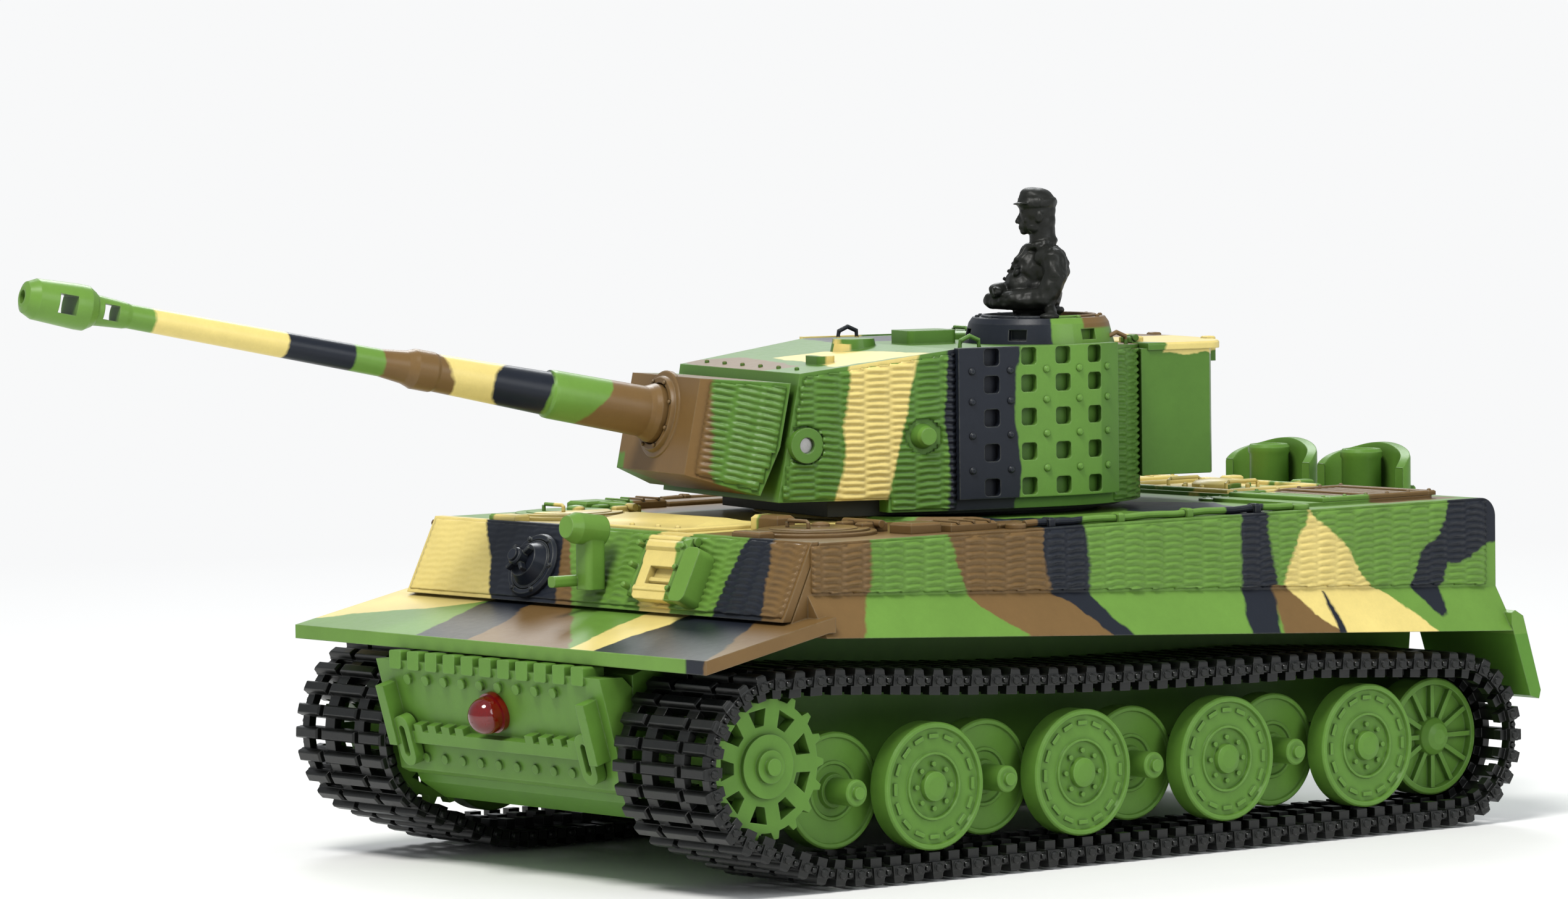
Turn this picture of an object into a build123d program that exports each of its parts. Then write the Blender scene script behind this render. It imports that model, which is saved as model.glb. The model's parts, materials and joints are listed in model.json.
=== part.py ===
"""Radio-controlled micro tank: hull, running gear, drive train, turret and gun.

Millimetres. +Z is up, the gun end faces -Y, the tank's left side is +X and the ground is Z = 0.
Places along Y are measured from the hull's centre, or in turret parts from the turret's axis.
"""
import os
from math import atan2, cos, degrees, hypot, pi, radians, sin

from build123d import *

os.makedirs("parts", exist_ok=True)

# ---------------------------------------------------------------- driving dimensions
hull_y = 14.969            # hull centre behind the frame's origin
both_sides = ((1, "_left"), (-1, "_right"))     # sign of X and name ending

# lower hull
tub_half = 14.4            # half width
wall = 1.2
floor_z = 4.6              # underside of the floor
floor_top = floor_z + wall
tub_rear_y = 40.9
below_floor = 4.0          # where cuts up through the floor start
post_xy = [(-10.5, -18.6), (10.5, -18.6), (-10.5, 34.2), (10.5, 34.2)]
post_r = 1.9
hull_screw_seat_z = 5.7

# upper hull
deck_z = 26.7
side_x = 24.2              # upper side wall
flare_x = 26.5             # lower edge of the sponson flare
front_y, rear_y = -32.8, 41.3
crease_front, crease_rear = 22.7, 19.3      # height of the crease above the flare
flare_front, flare_rear = 19.5, 15.7        # height of the flare's lower edge

# tracks
track_in, track_out = 14.9, 26.5            # edges of a track from the centre plane
track_t = 2.1
belt_t = 1.4                                # belt with its cleats
rib_start = 1.2                             # depth at which the inner ribs begin
cleat_len, cleat_h, cleat_count = 1.15, 0.8, 96
sprocket_loop_r, idler_loop_r = 7.4, 7.14   # outer face of the track round its end wheels

# wheels
sprocket_y, sprocket_z = -37.7, 9.86
sprocket_root, sprocket_teeth = 5.2, 18
idler_y, idler_z, idler_r = 35.0, 7.14, 4.85
wheel_z = 7.23
outer_wheel_y = (-21.5, -6.0, 9.5, 25.0)
inner_wheel_y = (-29.2, -13.7, 1.8, 17.3)
outer_wheel_r, inner_wheel_r = 5.04, 4.6
pin_r, pin_gap = 0.85, 0.05
wheel_bore = pin_r + pin_gap
hub_x, hub_r = 15.0, 1.5                    # inner end of a wheel's hub, and its radius

# gears
gear_module = 0.4
axle_teeth, small_teeth, large_teeth, pinion_teeth, ring_teeth = 14, 10, 24, 9, 56
lay_y, lay_z = -33.07, 11.15       # compound gear axis
motor_y, motor_z = -26.53, 12.05   # drive motor axis
gear_x = 8.9                       # inner face of the compound gears and motor pinions
bracket_x, bracket_t = 7.8, 0.8
axle_r, bush_r = 1.0, 1.9
motor_r, motor_shaft_r, pinion_bore_r = 4.0, 0.4, 0.45
lay_angle = degrees(atan2(lay_z - sprocket_z, lay_y - sprocket_y))
motor_angle = degrees(atan2(motor_z - lay_z, motor_y - lay_y))

# battery, charging socket and switch
battery_y = -1.5
hatch_size = (17.0, 22.0)          # battery opening in the floor
hatch_corner, hatch_gap = 1.0, 0.05
socket_xy, socket_r = (4.0, 29.0), 1.6
switch_x, switch_y = -4.0, 29.0

# turret
turret_y = 5.4                     # turret axis behind the hull centre
turret_yaw = -13.0                 # the turret rests turned towards the right
turret_r = 13.5
shoulder_y = -8.8                  # where the base and the cavity start to narrow
cheek_y = -9.0                     # where the shell starts to narrow
neck_r, neck_gap = 9.95, 0.05
ring_gear_z, ring_gear_t = 23.9, 1.4
neck_z = ring_gear_z + ring_gear_t
neck_bore_r = 4.0
turret_motor_y = turret_y + gear_module * (ring_teeth + pinion_teeth) / 2
turret_motor_z, turret_motor_h = 8.5, 14.4
turret_screw_xy = [(6.2 * cos(radians(a)), 6.2 * sin(radians(a))) for a in (45, 135, 225, 315)]
cupola_x, cupola_y, cupola_z = 4.8, 3.4, 39.9
cupola_bore_r = 4.4
cupola_roof_z, cupola_roof_r = 42.0, 5.75

# gun
gun_tilt = 11.4                    # the gun rests raised
trunnion_y, trunnion_z, trunnion_r = -21.3, 33.0, 0.65
gun_axis_z = 33.76                 # the bore passes a little above the trunnions
collar_start = 6.2                 # barrel collar and its recess, along the bore
tenon_start, tenon_r = 5.2, 1.6    # barrel end seated in the mantlet

# ---------------------------------------------------------------- datum planes
top = Plane(origin=(0, hull_y, 0))                                              # x left, y back
side = Plane(origin=(0, hull_y, 0), x_dir=(0, 1, 0), z_dir=(1, 0, 0))           # x back, y up
front = Plane(origin=(0, hull_y, 0), x_dir=(1, 0, 0), z_dir=(0, -1, 0))         # x left, y up

yaw_cos, yaw_sin = cos(radians(turret_yaw)), sin(radians(turret_yaw))
turret_left = (yaw_cos, yaw_sin, 0)
turret_origin = (0, hull_y + turret_y, 0)
turret_top = Plane(origin=turret_origin, x_dir=turret_left, z_dir=(0, 0, 1))
turret_side = Plane(origin=turret_origin, x_dir=(-yaw_sin, yaw_cos, 0), z_dir=turret_left)
turret_front = Plane(origin=turret_origin, x_dir=turret_left, z_dir=(yaw_sin, -yaw_cos, 0))


def turret_point(x, y, z):
    """A point given in the turret's frame, in the main frame."""
    return (x * yaw_cos - y * yaw_sin, hull_y + turret_y + x * yaw_sin + y * yaw_cos, z)


tilt_cos, tilt_sin = cos(radians(gun_tilt)), sin(radians(gun_tilt))
gun_dir = (yaw_sin * tilt_cos, -yaw_cos * tilt_cos, tilt_sin)
gun_origin = turret_point(0, trunnion_y, gun_axis_z)
# x left, y up, z along the bore
gun_bore = Plane(origin=gun_origin, x_dir=turret_left, z_dir=gun_dir)
# x along the bore, y up
gun_flank = Plane(origin=gun_origin, x_dir=gun_dir, z_dir=(-yaw_cos, -yaw_sin, 0))
# x left, y along the bore, z down
gun_plan = Plane(origin=gun_origin, x_dir=turret_left,
                 z_dir=tuple(Vector(*turret_left).cross(Vector(*gun_dir))))


def sloping_face(low, high):
    """Plane on a plate's outer face: x left, y up the slope from low to high, both (y, z)."""
    slope = atan2(high[1] - low[1], high[0] - low[0])
    return Plane(origin=(0, hull_y + low[0], low[1]), x_dir=(1, 0, 0),
                 z_dir=(0, -sin(slope), cos(slope)))


plate_base, plate_top = (-35.25, 20.75), (-32.25, 26.8)         # driver's plate, as (y, z)
driver_face = sloping_face(plate_base, plate_top)
nose_top, nose_fold, nose_toe = (-45.7, 16.5), (-43.8, 9.9), (-43.3, 7.6)
nose_face = sloping_face(nose_fold, nose_top)
toe_face = sloping_face(nose_toe, nose_fold)
nose_lamp, nose_lamp_r = (0, 3.3), 1.5                          # on nose_face


def outward(hand, x, y=0, z=0):
    """Upright plane on one side, facing outwards: its x is hand * y of the hull, its y is up."""
    return Plane(origin=(hand * x, hull_y + y, z), x_dir=(0, hand, 0), z_dir=(hand, 0, 0))


def gear_plane(hand, x, y, z):
    """Upright plane facing left on either side, so that gear angles agree."""
    return Plane(origin=(hand * x, hull_y + y, z), x_dir=(0, 1, 0), z_dir=(1, 0, 0))


# ---------------------------------------------------------------- helpers
# Those without a BuildPart of their own draw on the sketch or line that is open.
def save(builder, name):
    builder.part.label = name
    export_step(builder.part, "parts/" + name + ".step")


def gear_outline(teeth, phase):
    """Straight-flanked gear teeth, one tooth centred at phase degrees."""
    pitch_r = gear_module * teeth / 2
    tooth_pitch = pi * gear_module
    root_r, tip_r = pitch_r - 1.15 * gear_module, pitch_r + 0.8 * gear_module
    # radius, and place across the tooth in half tooth pitches
    tooth = ((root_r, -0.50), (pitch_r, -0.40), (tip_r, -0.20),
             (tip_r, 0.20), (pitch_r, 0.40), (root_r, 0.50))
    points = []
    for i in range(teeth):
        centre = radians(phase) + 2 * pi * i / teeth
        for radius, across in tooth:
            angle = centre + across * tooth_pitch / 2 / pitch_r
            points.append((radius * cos(angle), radius * sin(angle)))
    Polygon(*points, align=None)


def hull_section(roof_half, roof_z, crease_z, flare_half, flare_z):
    """Cross-section of the upper hull."""
    Polygon((-roof_half, roof_z), (-roof_half, crease_z), (-flare_half, flare_z),
            (flare_half, flare_z), (roof_half, crease_z), (roof_half, roof_z), align=None)


def turret_outline(front_half, front, narrow_y, radius):
    """Turret plan: narrowing to the front, straight sides, half round at the rear."""
    Polyline((-front_half, front), (front_half, front), (radius, narrow_y), (radius, 0))
    ThreePointArc((radius, 0), (0, radius), (-radius, 0))
    Polyline((-radius, 0), (-radius, narrow_y), (-front_half, front))


def screws(name, base, places, head_z, head, shank, cross):
    """Screws pointing up: head and shank are (radius, length), cross is (length, width, depth)."""
    head_r, head_h = head
    shank_r, shank_len = shank
    cross_len, cross_w, cross_depth = cross
    with BuildPart() as part:
        with BuildSketch(base.offset(head_z)):
            with Locations(*places):
                Circle(head_r)
        extrude(amount=head_h)
        with BuildSketch(base.offset(head_z + head_h)):
            with Locations(*places):
                Circle(shank_r)
        extrude(amount=shank_len)
        with BuildSketch(base.offset(head_z)):
            with Locations(*places):
                Rectangle(cross_len, cross_w)
                Rectangle(cross_w, cross_len)
        extrude(amount=cross_depth, mode=Mode.SUBTRACT)
    save(part, name)


# ---------------------------------------------------------------- hull
def lower_hull():
    """Open tub with screw posts and holes for the axles and wheel pins."""
    slope = (flare_rear - flare_front) / (rear_y - front_y)
    rear_top_z = flare_front + slope * (tub_rear_y - front_y)
    # side outlines as (y, z)
    outside = [(-42.4, 16.6), (-42.4, 8.4), (-41.4, 6.4), (-39.0, 4.9), (-36.5, floor_z),
               (37.6, floor_z), (40.1, 7.0), (tub_rear_y, 15.5), (tub_rear_y, rear_top_z),
               (front_y, flare_front), (-36.5, 18.6), (-42.4, 16.6)]
    inside = [(-41.3, 16.9), (-41.3, 8.6), (-40.5, 7.2), (-38.6, 6.1), (-36.4, floor_top),
              (37.1, floor_top), (39.0, 7.6), (39.7, 15.5), (39.7, 22.0), (front_y, 22.0),
              (-41.3, 22.0), (-41.3, 16.9)]
    with BuildPart() as part:
        with BuildSketch(side.offset(-tub_half)):
            with BuildLine():
                Polyline(*outside)
            make_face()
        extrude(amount=2 * tub_half)
        with BuildSketch(side.offset(-tub_half + wall)):
            with BuildLine():
                Polyline(*inside)
            make_face()
        extrude(amount=2 * (tub_half - wall), mode=Mode.SUBTRACT)
        # screw posts, drilled and counterbored from below
        with BuildSketch(top.offset(floor_top)):
            with Locations(*post_xy):
                Circle(post_r)
        extrude(amount=9.0)
        for radius, height in ((0.85, 12.0), (1.3, hull_screw_seat_z - below_floor)):
            with BuildSketch(top.offset(below_floor)):
                with Locations(*post_xy):
                    Circle(radius)
            extrude(amount=height, mode=Mode.SUBTRACT)
        # openings in the floor: battery cover, charging socket, switch
        with BuildSketch(top.offset(below_floor)):
            with Locations((0, battery_y)):
                RectangleRounded(*hatch_size, hatch_corner)
            with Locations(socket_xy):
                Circle(socket_r)
            with Locations((switch_x, switch_y)):
                Rectangle(4.4, 1.6)
        extrude(amount=2.5, mode=Mode.SUBTRACT)
        # bushed holes for the drive axles
        with BuildSketch(side.offset(-20)):
            with Locations((sprocket_y, sprocket_z)):
                Circle(bush_r)
        extrude(amount=40, mode=Mode.SUBTRACT)
        # holes that grip the fixed wheel pins
        with BuildSketch(side.offset(-20)):
            with Locations(*[(y, wheel_z) for y in outer_wheel_y + inner_wheel_y],
                           (idler_y, idler_z)):
                Circle(pin_r)
        extrude(amount=40, mode=Mode.SUBTRACT)
    save(part, "lower_hull")


def upper_hull():
    """Hollow deck and sponsons with mudguards, hatches and grilles."""
    hollow_front_y = -30.0
    hollow_rear_y = rear_y - wall
    hollow_roof_z = deck_z - wall
    # side outlines as (y, z)
    block = [(-31.52, deck_z), (-34.44, 20.6), (-34.44, 19.9), (-31.0, 19.9), (-31.0, deck_z)]
    block_cut = [(-31.376, 27.0), (-34.44, 20.6), (-36.0, 20.6), (-36.0, 27.0)]
    front_guard = [(-44.8, 18.5), (-44.8, 17.4), (-32.6, 19.9), (-31.9, 19.9), (-31.9, 21.1),
                   (-32.6, 21.0)]
    rear_guard = [(40.9, 16.2), (43.0, 10.2), (44.0, 9.9), (44.2, 10.6), (42.2, 16.9),
                  (41.3, 17.4), (40.9, 17.2)]
    rear_guard_w = 11.4
    with BuildPart() as part:
        with BuildSketch(front.offset(-front_y)):
            hull_section(side_x, deck_z, crease_front, flare_x, flare_front)
        with BuildSketch(front.offset(-rear_y)):
            hull_section(side_x, deck_z, crease_rear, flare_x, flare_rear)
        loft(ruled=True)
        rear_edges = part.edges().filter_by(Axis.X).group_by(Axis.Y)[-1].sort_by(Axis.Z)[-1:]
        fillet(rear_edges, radius=1.6)
        # block behind the driver's plate
        with BuildSketch(side.offset(-side_x)):
            Polygon(*block, align=None)
        extrude(amount=2 * side_x)
        with BuildSketch(side.offset(-30)):
            Polygon(*block_cut, align=None)
        extrude(amount=60, mode=Mode.SUBTRACT)
        # glacis and front mudguard plate
        with BuildSketch(side.offset(-flare_x)):
            Polygon(*front_guard, align=None)
        extrude(amount=2 * flare_x)
        # hollow inside
        with BuildSketch(front.offset(-hollow_front_y)):
            hull_section(side_x - wall, hollow_roof_z, crease_front + 0.3,
                         flare_x - 2.0, flare_front + 1.1)
        with BuildSketch(front.offset(-hollow_rear_y)):
            hull_section(side_x - wall, hollow_roof_z, crease_rear + 0.3,
                         flare_x - 2.0, flare_rear + 1.1)
        loft(ruled=True, mode=Mode.SUBTRACT)
        # opening above the tub
        with BuildSketch(top.offset(12.0)):
            with Locations((0, (hollow_rear_y + hollow_front_y) / 2)):
                Rectangle(2 * (tub_half - wall), hollow_rear_y - hollow_front_y)
        extrude(amount=11.5, mode=Mode.SUBTRACT)
        # turret opening
        with BuildSketch(top.offset(24.0)):
            with Locations((0, turret_y)):
                Circle(neck_r + neck_gap)
        extrude(amount=4.0, mode=Mode.SUBTRACT)
        # screw bosses, hanging from the roof
        with BuildSketch(top.offset(hollow_roof_z)):
            with Locations(*post_xy):
                Circle(post_r)
        extrude(amount=-(hollow_roof_z - 14.9))
        with BuildSketch(top.offset(14.0)):
            with Locations(*post_xy):
                Circle(0.6)
        extrude(amount=9.0, mode=Mode.SUBTRACT)
        # rear mudguards
        for hand in (-1, 1):
            with BuildSketch(side.offset(hand * flare_x)):
                Polygon(*rear_guard, align=None)
            extrude(amount=-hand * rear_guard_w)
        # front hatches
        with BuildSketch(top.offset(deck_z)):
            with Locations((-15.6, -25.0), (15.6, -25.0)):
                Circle(4.4)
        extrude(amount=0.45)
        # engine deck grilles, two at the sides and one in the middle
        with BuildSketch(top.offset(deck_z)):
            with Locations((-15.8, 29.6), (15.8, 29.6)):
                RectangleRounded(11.4, 15.0, 0.8)
            with Locations((0, 32.2)):
                RectangleRounded(15.5, 12.0, 0.8)
        extrude(amount=0.3)
    save(part, "upper_hull")


def driver_plate():
    """Sloping plate across the hull, with the driver's visor on the left."""
    half = side_x - 0.1
    with BuildPart() as part:
        with BuildSketch(side.offset(-half)):
            Polygon(plate_base, plate_top, (-31.52, 26.8), (-34.44, 20.75), align=None)
        extrude(amount=2 * half)
        # visor frame: lintel, sill and inner post
        with BuildSketch(driver_face.offset(-0.1)):
            with Locations((9.3, 4.35)):
                RectangleRounded(7.0, 1.7, 0.6)
            with Locations((9.3, 1.35)):
                RectangleRounded(6.4, 1.3, 0.3)
            with Locations((6.5, 2.9)):
                RectangleRounded(1.1, 4.2, 0.3)
        extrude(amount=1.1)
        # side guard
        with BuildSketch(driver_face.offset(-0.1)):
            with Locations((12.6, 2.7)):
                RectangleRounded(1.9, 4.6, 0.6)
        extrude(amount=2.0)
        # low panel within the frame
        with BuildSketch(driver_face.offset(-0.1)):
            with Locations((9.4, 2.75)):
                RectangleRounded(4.6, 1.5, 0.2)
        extrude(amount=0.45)
    save(part, "driver_plate")


def front_fittings():
    """Headlight near the middle and machine-gun mount on the right."""
    lamp_x, lamp_r, lamp_tilt = 0.6, 1.25, radians(8)
    lamp = Plane(origin=(lamp_x, hull_y - 35.3, 26.9), x_dir=(1, 0, 0),
                 z_dir=(0, -cos(lamp_tilt), sin(lamp_tilt)))
    mount = (-8.6, 3.0)         # on the driver's plate
    with BuildPart() as part:
        # lamp body and its tapered rim
        with BuildSketch(lamp.offset(-0.8)):
            Circle(lamp_r)
        extrude(amount=2.6)
        with BuildSketch(lamp.offset(1.8)):
            Circle(lamp_r)
        extrude(amount=0.9, taper=22)
        # lamp post, and a small bar ahead of the plate
        with BuildSketch(top.offset(22.2)):
            with Locations((lamp_x, -35.55)):
                RectangleRounded(1.9, 1.9, 0.5)
        extrude(amount=4.2)
        with BuildSketch(front.offset(34.8)):
            with Locations((-0.3, 22.9)):
                RectangleRounded(0.9, 0.9, 0.3)
        extrude(amount=4.0)
        # machine-gun mount: disc, cone, barrel stub
        for lift, radius, length, taper in ((0, 2.1, 0.6, 0), (0.6, 1.9, 0.9, 30),
                                            (1.2, 0.5, 1.5, 0)):
            with BuildSketch(driver_face.offset(lift)):
                with Locations(mount):
                    Circle(radius)
            extrude(amount=length, taper=taper)
    save(part, "front_fittings")


def nose_plate():
    """Folded plate closing the front of the tub, with its lamp hole and tow fittings."""
    column_pitch = 2.35         # shared by the blocks and both rows of rivets
    shackle_x, hook_x, hook_y = 12.9, 11.7, 0.4
    with BuildPart() as part:
        with BuildSketch(side.offset(-tub_half)):
            Polygon(nose_top, nose_fold, nose_toe, (-42.5, 7.2), (-42.42, 8.4), (-42.42, 15.6),
                    (-43.4, 16.5), align=None)
        extrude(amount=2 * tub_half)
        # row of blocks along the top
        with BuildSketch(front.offset(43.7)):
            with Locations(*[(-11.75 + column_pitch * i, 16.55) for i in range(11)]):
                RectangleRounded(1.5, 1.5, 0.2)
        extrude(amount=2.1)
        # rivets above and below the fold
        with BuildSketch(nose_face.offset(-0.1)):
            with Locations(*[(-10.5 + column_pitch * i, 5.4) for i in range(9)]):
                Circle(0.42)
        extrude(amount=0.4)
        with BuildSketch(toe_face.offset(-0.1)):
            with Locations(*[(-10.5 + column_pitch * i, 1.1) for i in range(10)]):
                Circle(0.4)
        extrude(amount=0.3)
        # rail with its blocks
        with BuildSketch(nose_face.offset(-0.1)):
            with Locations((0, 0.7)):
                Rectangle(21.6, 1.0)
            with Locations(*[(x, 1.35) for x in (-9.9, -8.1, -6.3, -4.5, 4.5, 6.3, 8.1, 9.9)]):
                Rectangle(1.0, 0.9)
        extrude(amount=0.9)
        # tow shackle plates and hooks
        with BuildSketch(nose_face.offset(-0.1)):
            with Locations((-shackle_x, 2.6), (shackle_x, 2.6)):
                Rectangle(1.0, 5.0)
        extrude(amount=1.5)
        with BuildSketch(nose_face.offset(0.2)):
            with Locations((-hook_x, hook_y), (hook_x, hook_y)):
                SlotOverall(4.2, 1.9, rotation=90)
                SlotOverall(2.6, 0.7, rotation=90, mode=Mode.SUBTRACT)
        extrude(amount=0.9)
        # hole for the lamp
        with BuildSketch(nose_face.offset(-2.5)):
            with Locations(nose_lamp):
                Circle(nose_lamp_r)
        extrude(amount=6, mode=Mode.SUBTRACT)
    save(part, "nose_plate")


def led_lens():
    """Domed lamp in the nose plate, with a collar on the plate's face."""
    with BuildPart() as part:
        with BuildSketch(nose_face.offset(-0.9)):
            with Locations(nose_lamp):
                Circle(nose_lamp_r)
        extrude(amount=1.9)
        with BuildSketch(nose_face):
            with Locations(nose_lamp):
                Circle(1.65)
        extrude(amount=0.5)
        with Locations(nose_face.offset(1.0).location * Location((*nose_lamp, 0))):
            Sphere(nose_lamp_r)
    save(part, "led_lens")


def exhaust_shields():
    """Curved shields at the rear, each round an exhaust pipe."""
    shield_x, shield_y, pipe_y = 5.75, 43.4, 43.6
    base_z, bracket_z, bracket_h = 18.4, 20.0, 1.6
    with BuildPart() as part:
        for hand in (-1, 1):
            x = hand * shield_x
            # rear part of an elliptical tube
            with BuildSketch(top.offset(base_z)):
                with Locations((x, shield_y)):
                    Ellipse(5.15, 3.0)
                    Ellipse(4.45, 2.3, mode=Mode.SUBTRACT)
                with Locations((x, 41.4)):
                    Rectangle(11.0, 4.0, mode=Mode.SUBTRACT)
            extrude(amount=12.0)
            # pipe
            with BuildSketch(top.offset(base_z)):
                with Locations((x, pipe_y)):
                    Circle(1.75)
                    Circle(1.1, mode=Mode.SUBTRACT)
            extrude(amount=11.2)
            # block to the hull and bar across the pipe
            with BuildSketch(top.offset(bracket_z)):
                with Locations((x, 42.3)):
                    Rectangle(8.9, 2.0)
            extrude(amount=bracket_h)
            with BuildSketch(top.offset(bracket_z)):
                with Locations((x, pipe_y)):
                    Rectangle(8.8, 0.9)
            extrude(amount=bracket_h)
    save(part, "exhaust_shields")


# ---------------------------------------------------------------- tracks
def facing(y, z, out_y, out_z):
    """A point of the track's outer face with its outward direction made unit length."""
    length = hypot(out_y, out_z)
    return (y, z, out_y / length, out_z / length)


def track_loop():
    """The track's outer face, as (y, z, outward y, outward z)."""
    loop = []
    # round the sprocket, top to bottom
    for i in range(15):
        a = radians(80 + i * 11.4)
        loop.append(facing(sprocket_y + sprocket_loop_r * cos(a),
                           sprocket_z + sprocket_loop_r * sin(a), cos(a), sin(a)))
    # down to the ground and along it
    for y, z, out_y in ((-35.6, 1.15, -0.5), (-33.4, 0.42, -0.3), (-31.0, 0.08, -0.15),
                        (-28.6, 0, 0), (idler_y, 0, 0)):
        loop.append(facing(y, z, out_y, -1))
    # round the idler, bottom to top
    for i in range(1, 15):
        a = radians(-90 + i * 12.6)
        loop.append(facing(idler_y + idler_loop_r * cos(a),
                           idler_z + idler_loop_r * sin(a), cos(a), sin(a)))
    # top run, back to front
    for y, z in ((28.0, 14.75), (20.0, 15.2), (10.0, 15.32), (0.0, 15.5),
                 (-10.0, 15.85), (-20.0, 16.4), (-28.0, 16.95), (-33.0, 17.22)):
        loop.append(facing(y, z, 0.04, 1))
    return loop


def inset(loop, depth):
    """The loop moved inwards by depth, as (y, z)."""
    return [(y - out_y * depth, z - out_z * depth) for y, z, out_y, out_z in loop]


def span(start, end):
    return hypot(end[0] - start[0], end[1] - start[1])


def point_along(loop, depth, distance):
    """Point at a distance along the outer face, moved inwards by depth."""
    for i, start in enumerate(loop):
        end = loop[(i + 1) % len(loop)]
        length = span(start, end)
        if distance <= length or i == len(loop) - 1:
            share = distance / length
            y, z, out_y, out_z = (a + share * (b - a) for a, b in zip(start, end))
            return (y - depth * out_y, z - depth * out_z)
        distance -= length


def cleat_outline(loop):
    """Outer edge of the belt, with a cleat in the middle of each pitch."""
    pitch = sum(span(a, b) for a, b in zip(loop, loop[1:] + loop[:1])) / cleat_count
    points = []
    for i in range(cleat_count):
        start = (i + 0.5) * pitch - cleat_len / 2
        end = (i + 0.5) * pitch + cleat_len / 2
        for depth, distance in ((cleat_h, start), (0, start), (0, end), (cleat_h, end)):
            points.append(point_along(loop, depth, distance))
    return points


def tracks():
    loop = track_loop()
    with BuildPart() as left:
        # belt with cross cleats
        with BuildSketch(side.offset(track_in)):
            Polygon(*cleat_outline(loop), align=None)
            Polygon(*inset(loop, belt_t), align=None, mode=Mode.SUBTRACT)
        extrude(amount=track_out - track_in)
        # inner ribs that the wheels run on, clear of the sprocket's discs
        for rib_x, rib_w in ((17.9, 5.2), (25.15, 0.85)):
            with BuildSketch(side.offset(rib_x)):
                Polygon(*inset(loop, rib_start), align=None)
                Polygon(*inset(loop, track_t), align=None, mode=Mode.SUBTRACT)
            extrude(amount=rib_w)
    save(left, "track_left")
    with BuildPart() as right:
        mirror(left.part, about=Plane.YZ)
    save(right, "track_right")


# ---------------------------------------------------------------- wheels
# Profiles are (x from the centre plane, radius).
outer_profile = [
    (hub_x, wheel_bore), (hub_x, hub_r), (23.9, hub_r), (23.9, 4.9), (24.0, outer_wheel_r),
    (25.75, outer_wheel_r), (25.9, 4.9), (25.9, 4.62), (25.62, 4.5), (25.62, 2.72),
    (25.82, 2.66), (25.82, 2.5), (25.5, 2.42), (25.5, 1.25), (25.95, 1.15), (26.05, 0.75),
    (26.05, 0.0), (25.2, 0.0), (25.2, wheel_bore)]
inner_profile = [
    (hub_x, wheel_bore), (hub_x, hub_r), (20.8, hub_r), (20.8, 4.45), (20.9, inner_wheel_r),
    (22.65, inner_wheel_r), (22.8, 4.45), (22.8, 4.2), (22.55, 4.1), (22.55, 2.4), (22.7, 2.3),
    (22.7, 2.1), (22.5, 2.0), (22.5, 1.45), (22.9, 1.3), (22.9, 1.06), (25.5, 1.06),
    (25.62, 0.92), (25.62, 0.55), (25.95, 0.5), (25.95, 0.0), (25.0, 0.0), (25.0, wheel_bore)]
idler_profile = [
    (hub_x, wheel_bore), (hub_x, hub_r), (20.5, hub_r), (20.5, 4.6), (20.65, idler_r),
    (23.05, idler_r), (23.2, 4.7), (23.2, 4.3), (22.6, 4.2), (22.6, 1.75), (23.3, 1.5),
    (23.75, 1.1), (23.95, 0.6), (24.0, 0.0), (23.1, 0.0), (23.1, wheel_bore)]


def outer_wheel_relief():
    """Tangential dashes near the rim and bolts round the hub."""
    with PolarLocations(3.95, 16):
        Rectangle(0.34, 0.95)
    with PolarLocations(1.75, 8):
        Circle(0.2)


def idler_relief():
    """Radial ribs."""
    with PolarLocations(2.75, 12):
        Rectangle(3.0, 0.4)


def wheel_pair(name, profile, y, z, relief=None, relief_x=0, relief_h=0):
    """A revolved wheel on each side; relief draws what is raised on its outer face."""
    for hand, ending in both_sides:
        with BuildPart() as part:
            with BuildSketch(top.offset(z)):
                with Locations((0, y)):
                    Polygon(*[(hand * x, radius) for x, radius in profile], align=None)
            revolve(axis=Axis((0, hull_y + y, z), (1, 0, 0)))
            if relief:
                with BuildSketch(outward(hand, relief_x, y, z)):
                    relief()
                extrude(amount=relief_h)
        save(part, name + ending)


def wheels():
    for i, y in enumerate(outer_wheel_y, start=1):
        wheel_pair(f"outer_wheel_{i}", outer_profile, y, wheel_z,
                   relief=outer_wheel_relief, relief_x=25.35, relief_h=0.46)
    for i, y in enumerate(inner_wheel_y, start=1):
        wheel_pair(f"inner_wheel_{i}", inner_profile, y, wheel_z)
    wheel_pair("idler_wheel", idler_profile, idler_y, idler_z,
               relief=idler_relief, relief_x=22.55, relief_h=0.55)


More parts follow.
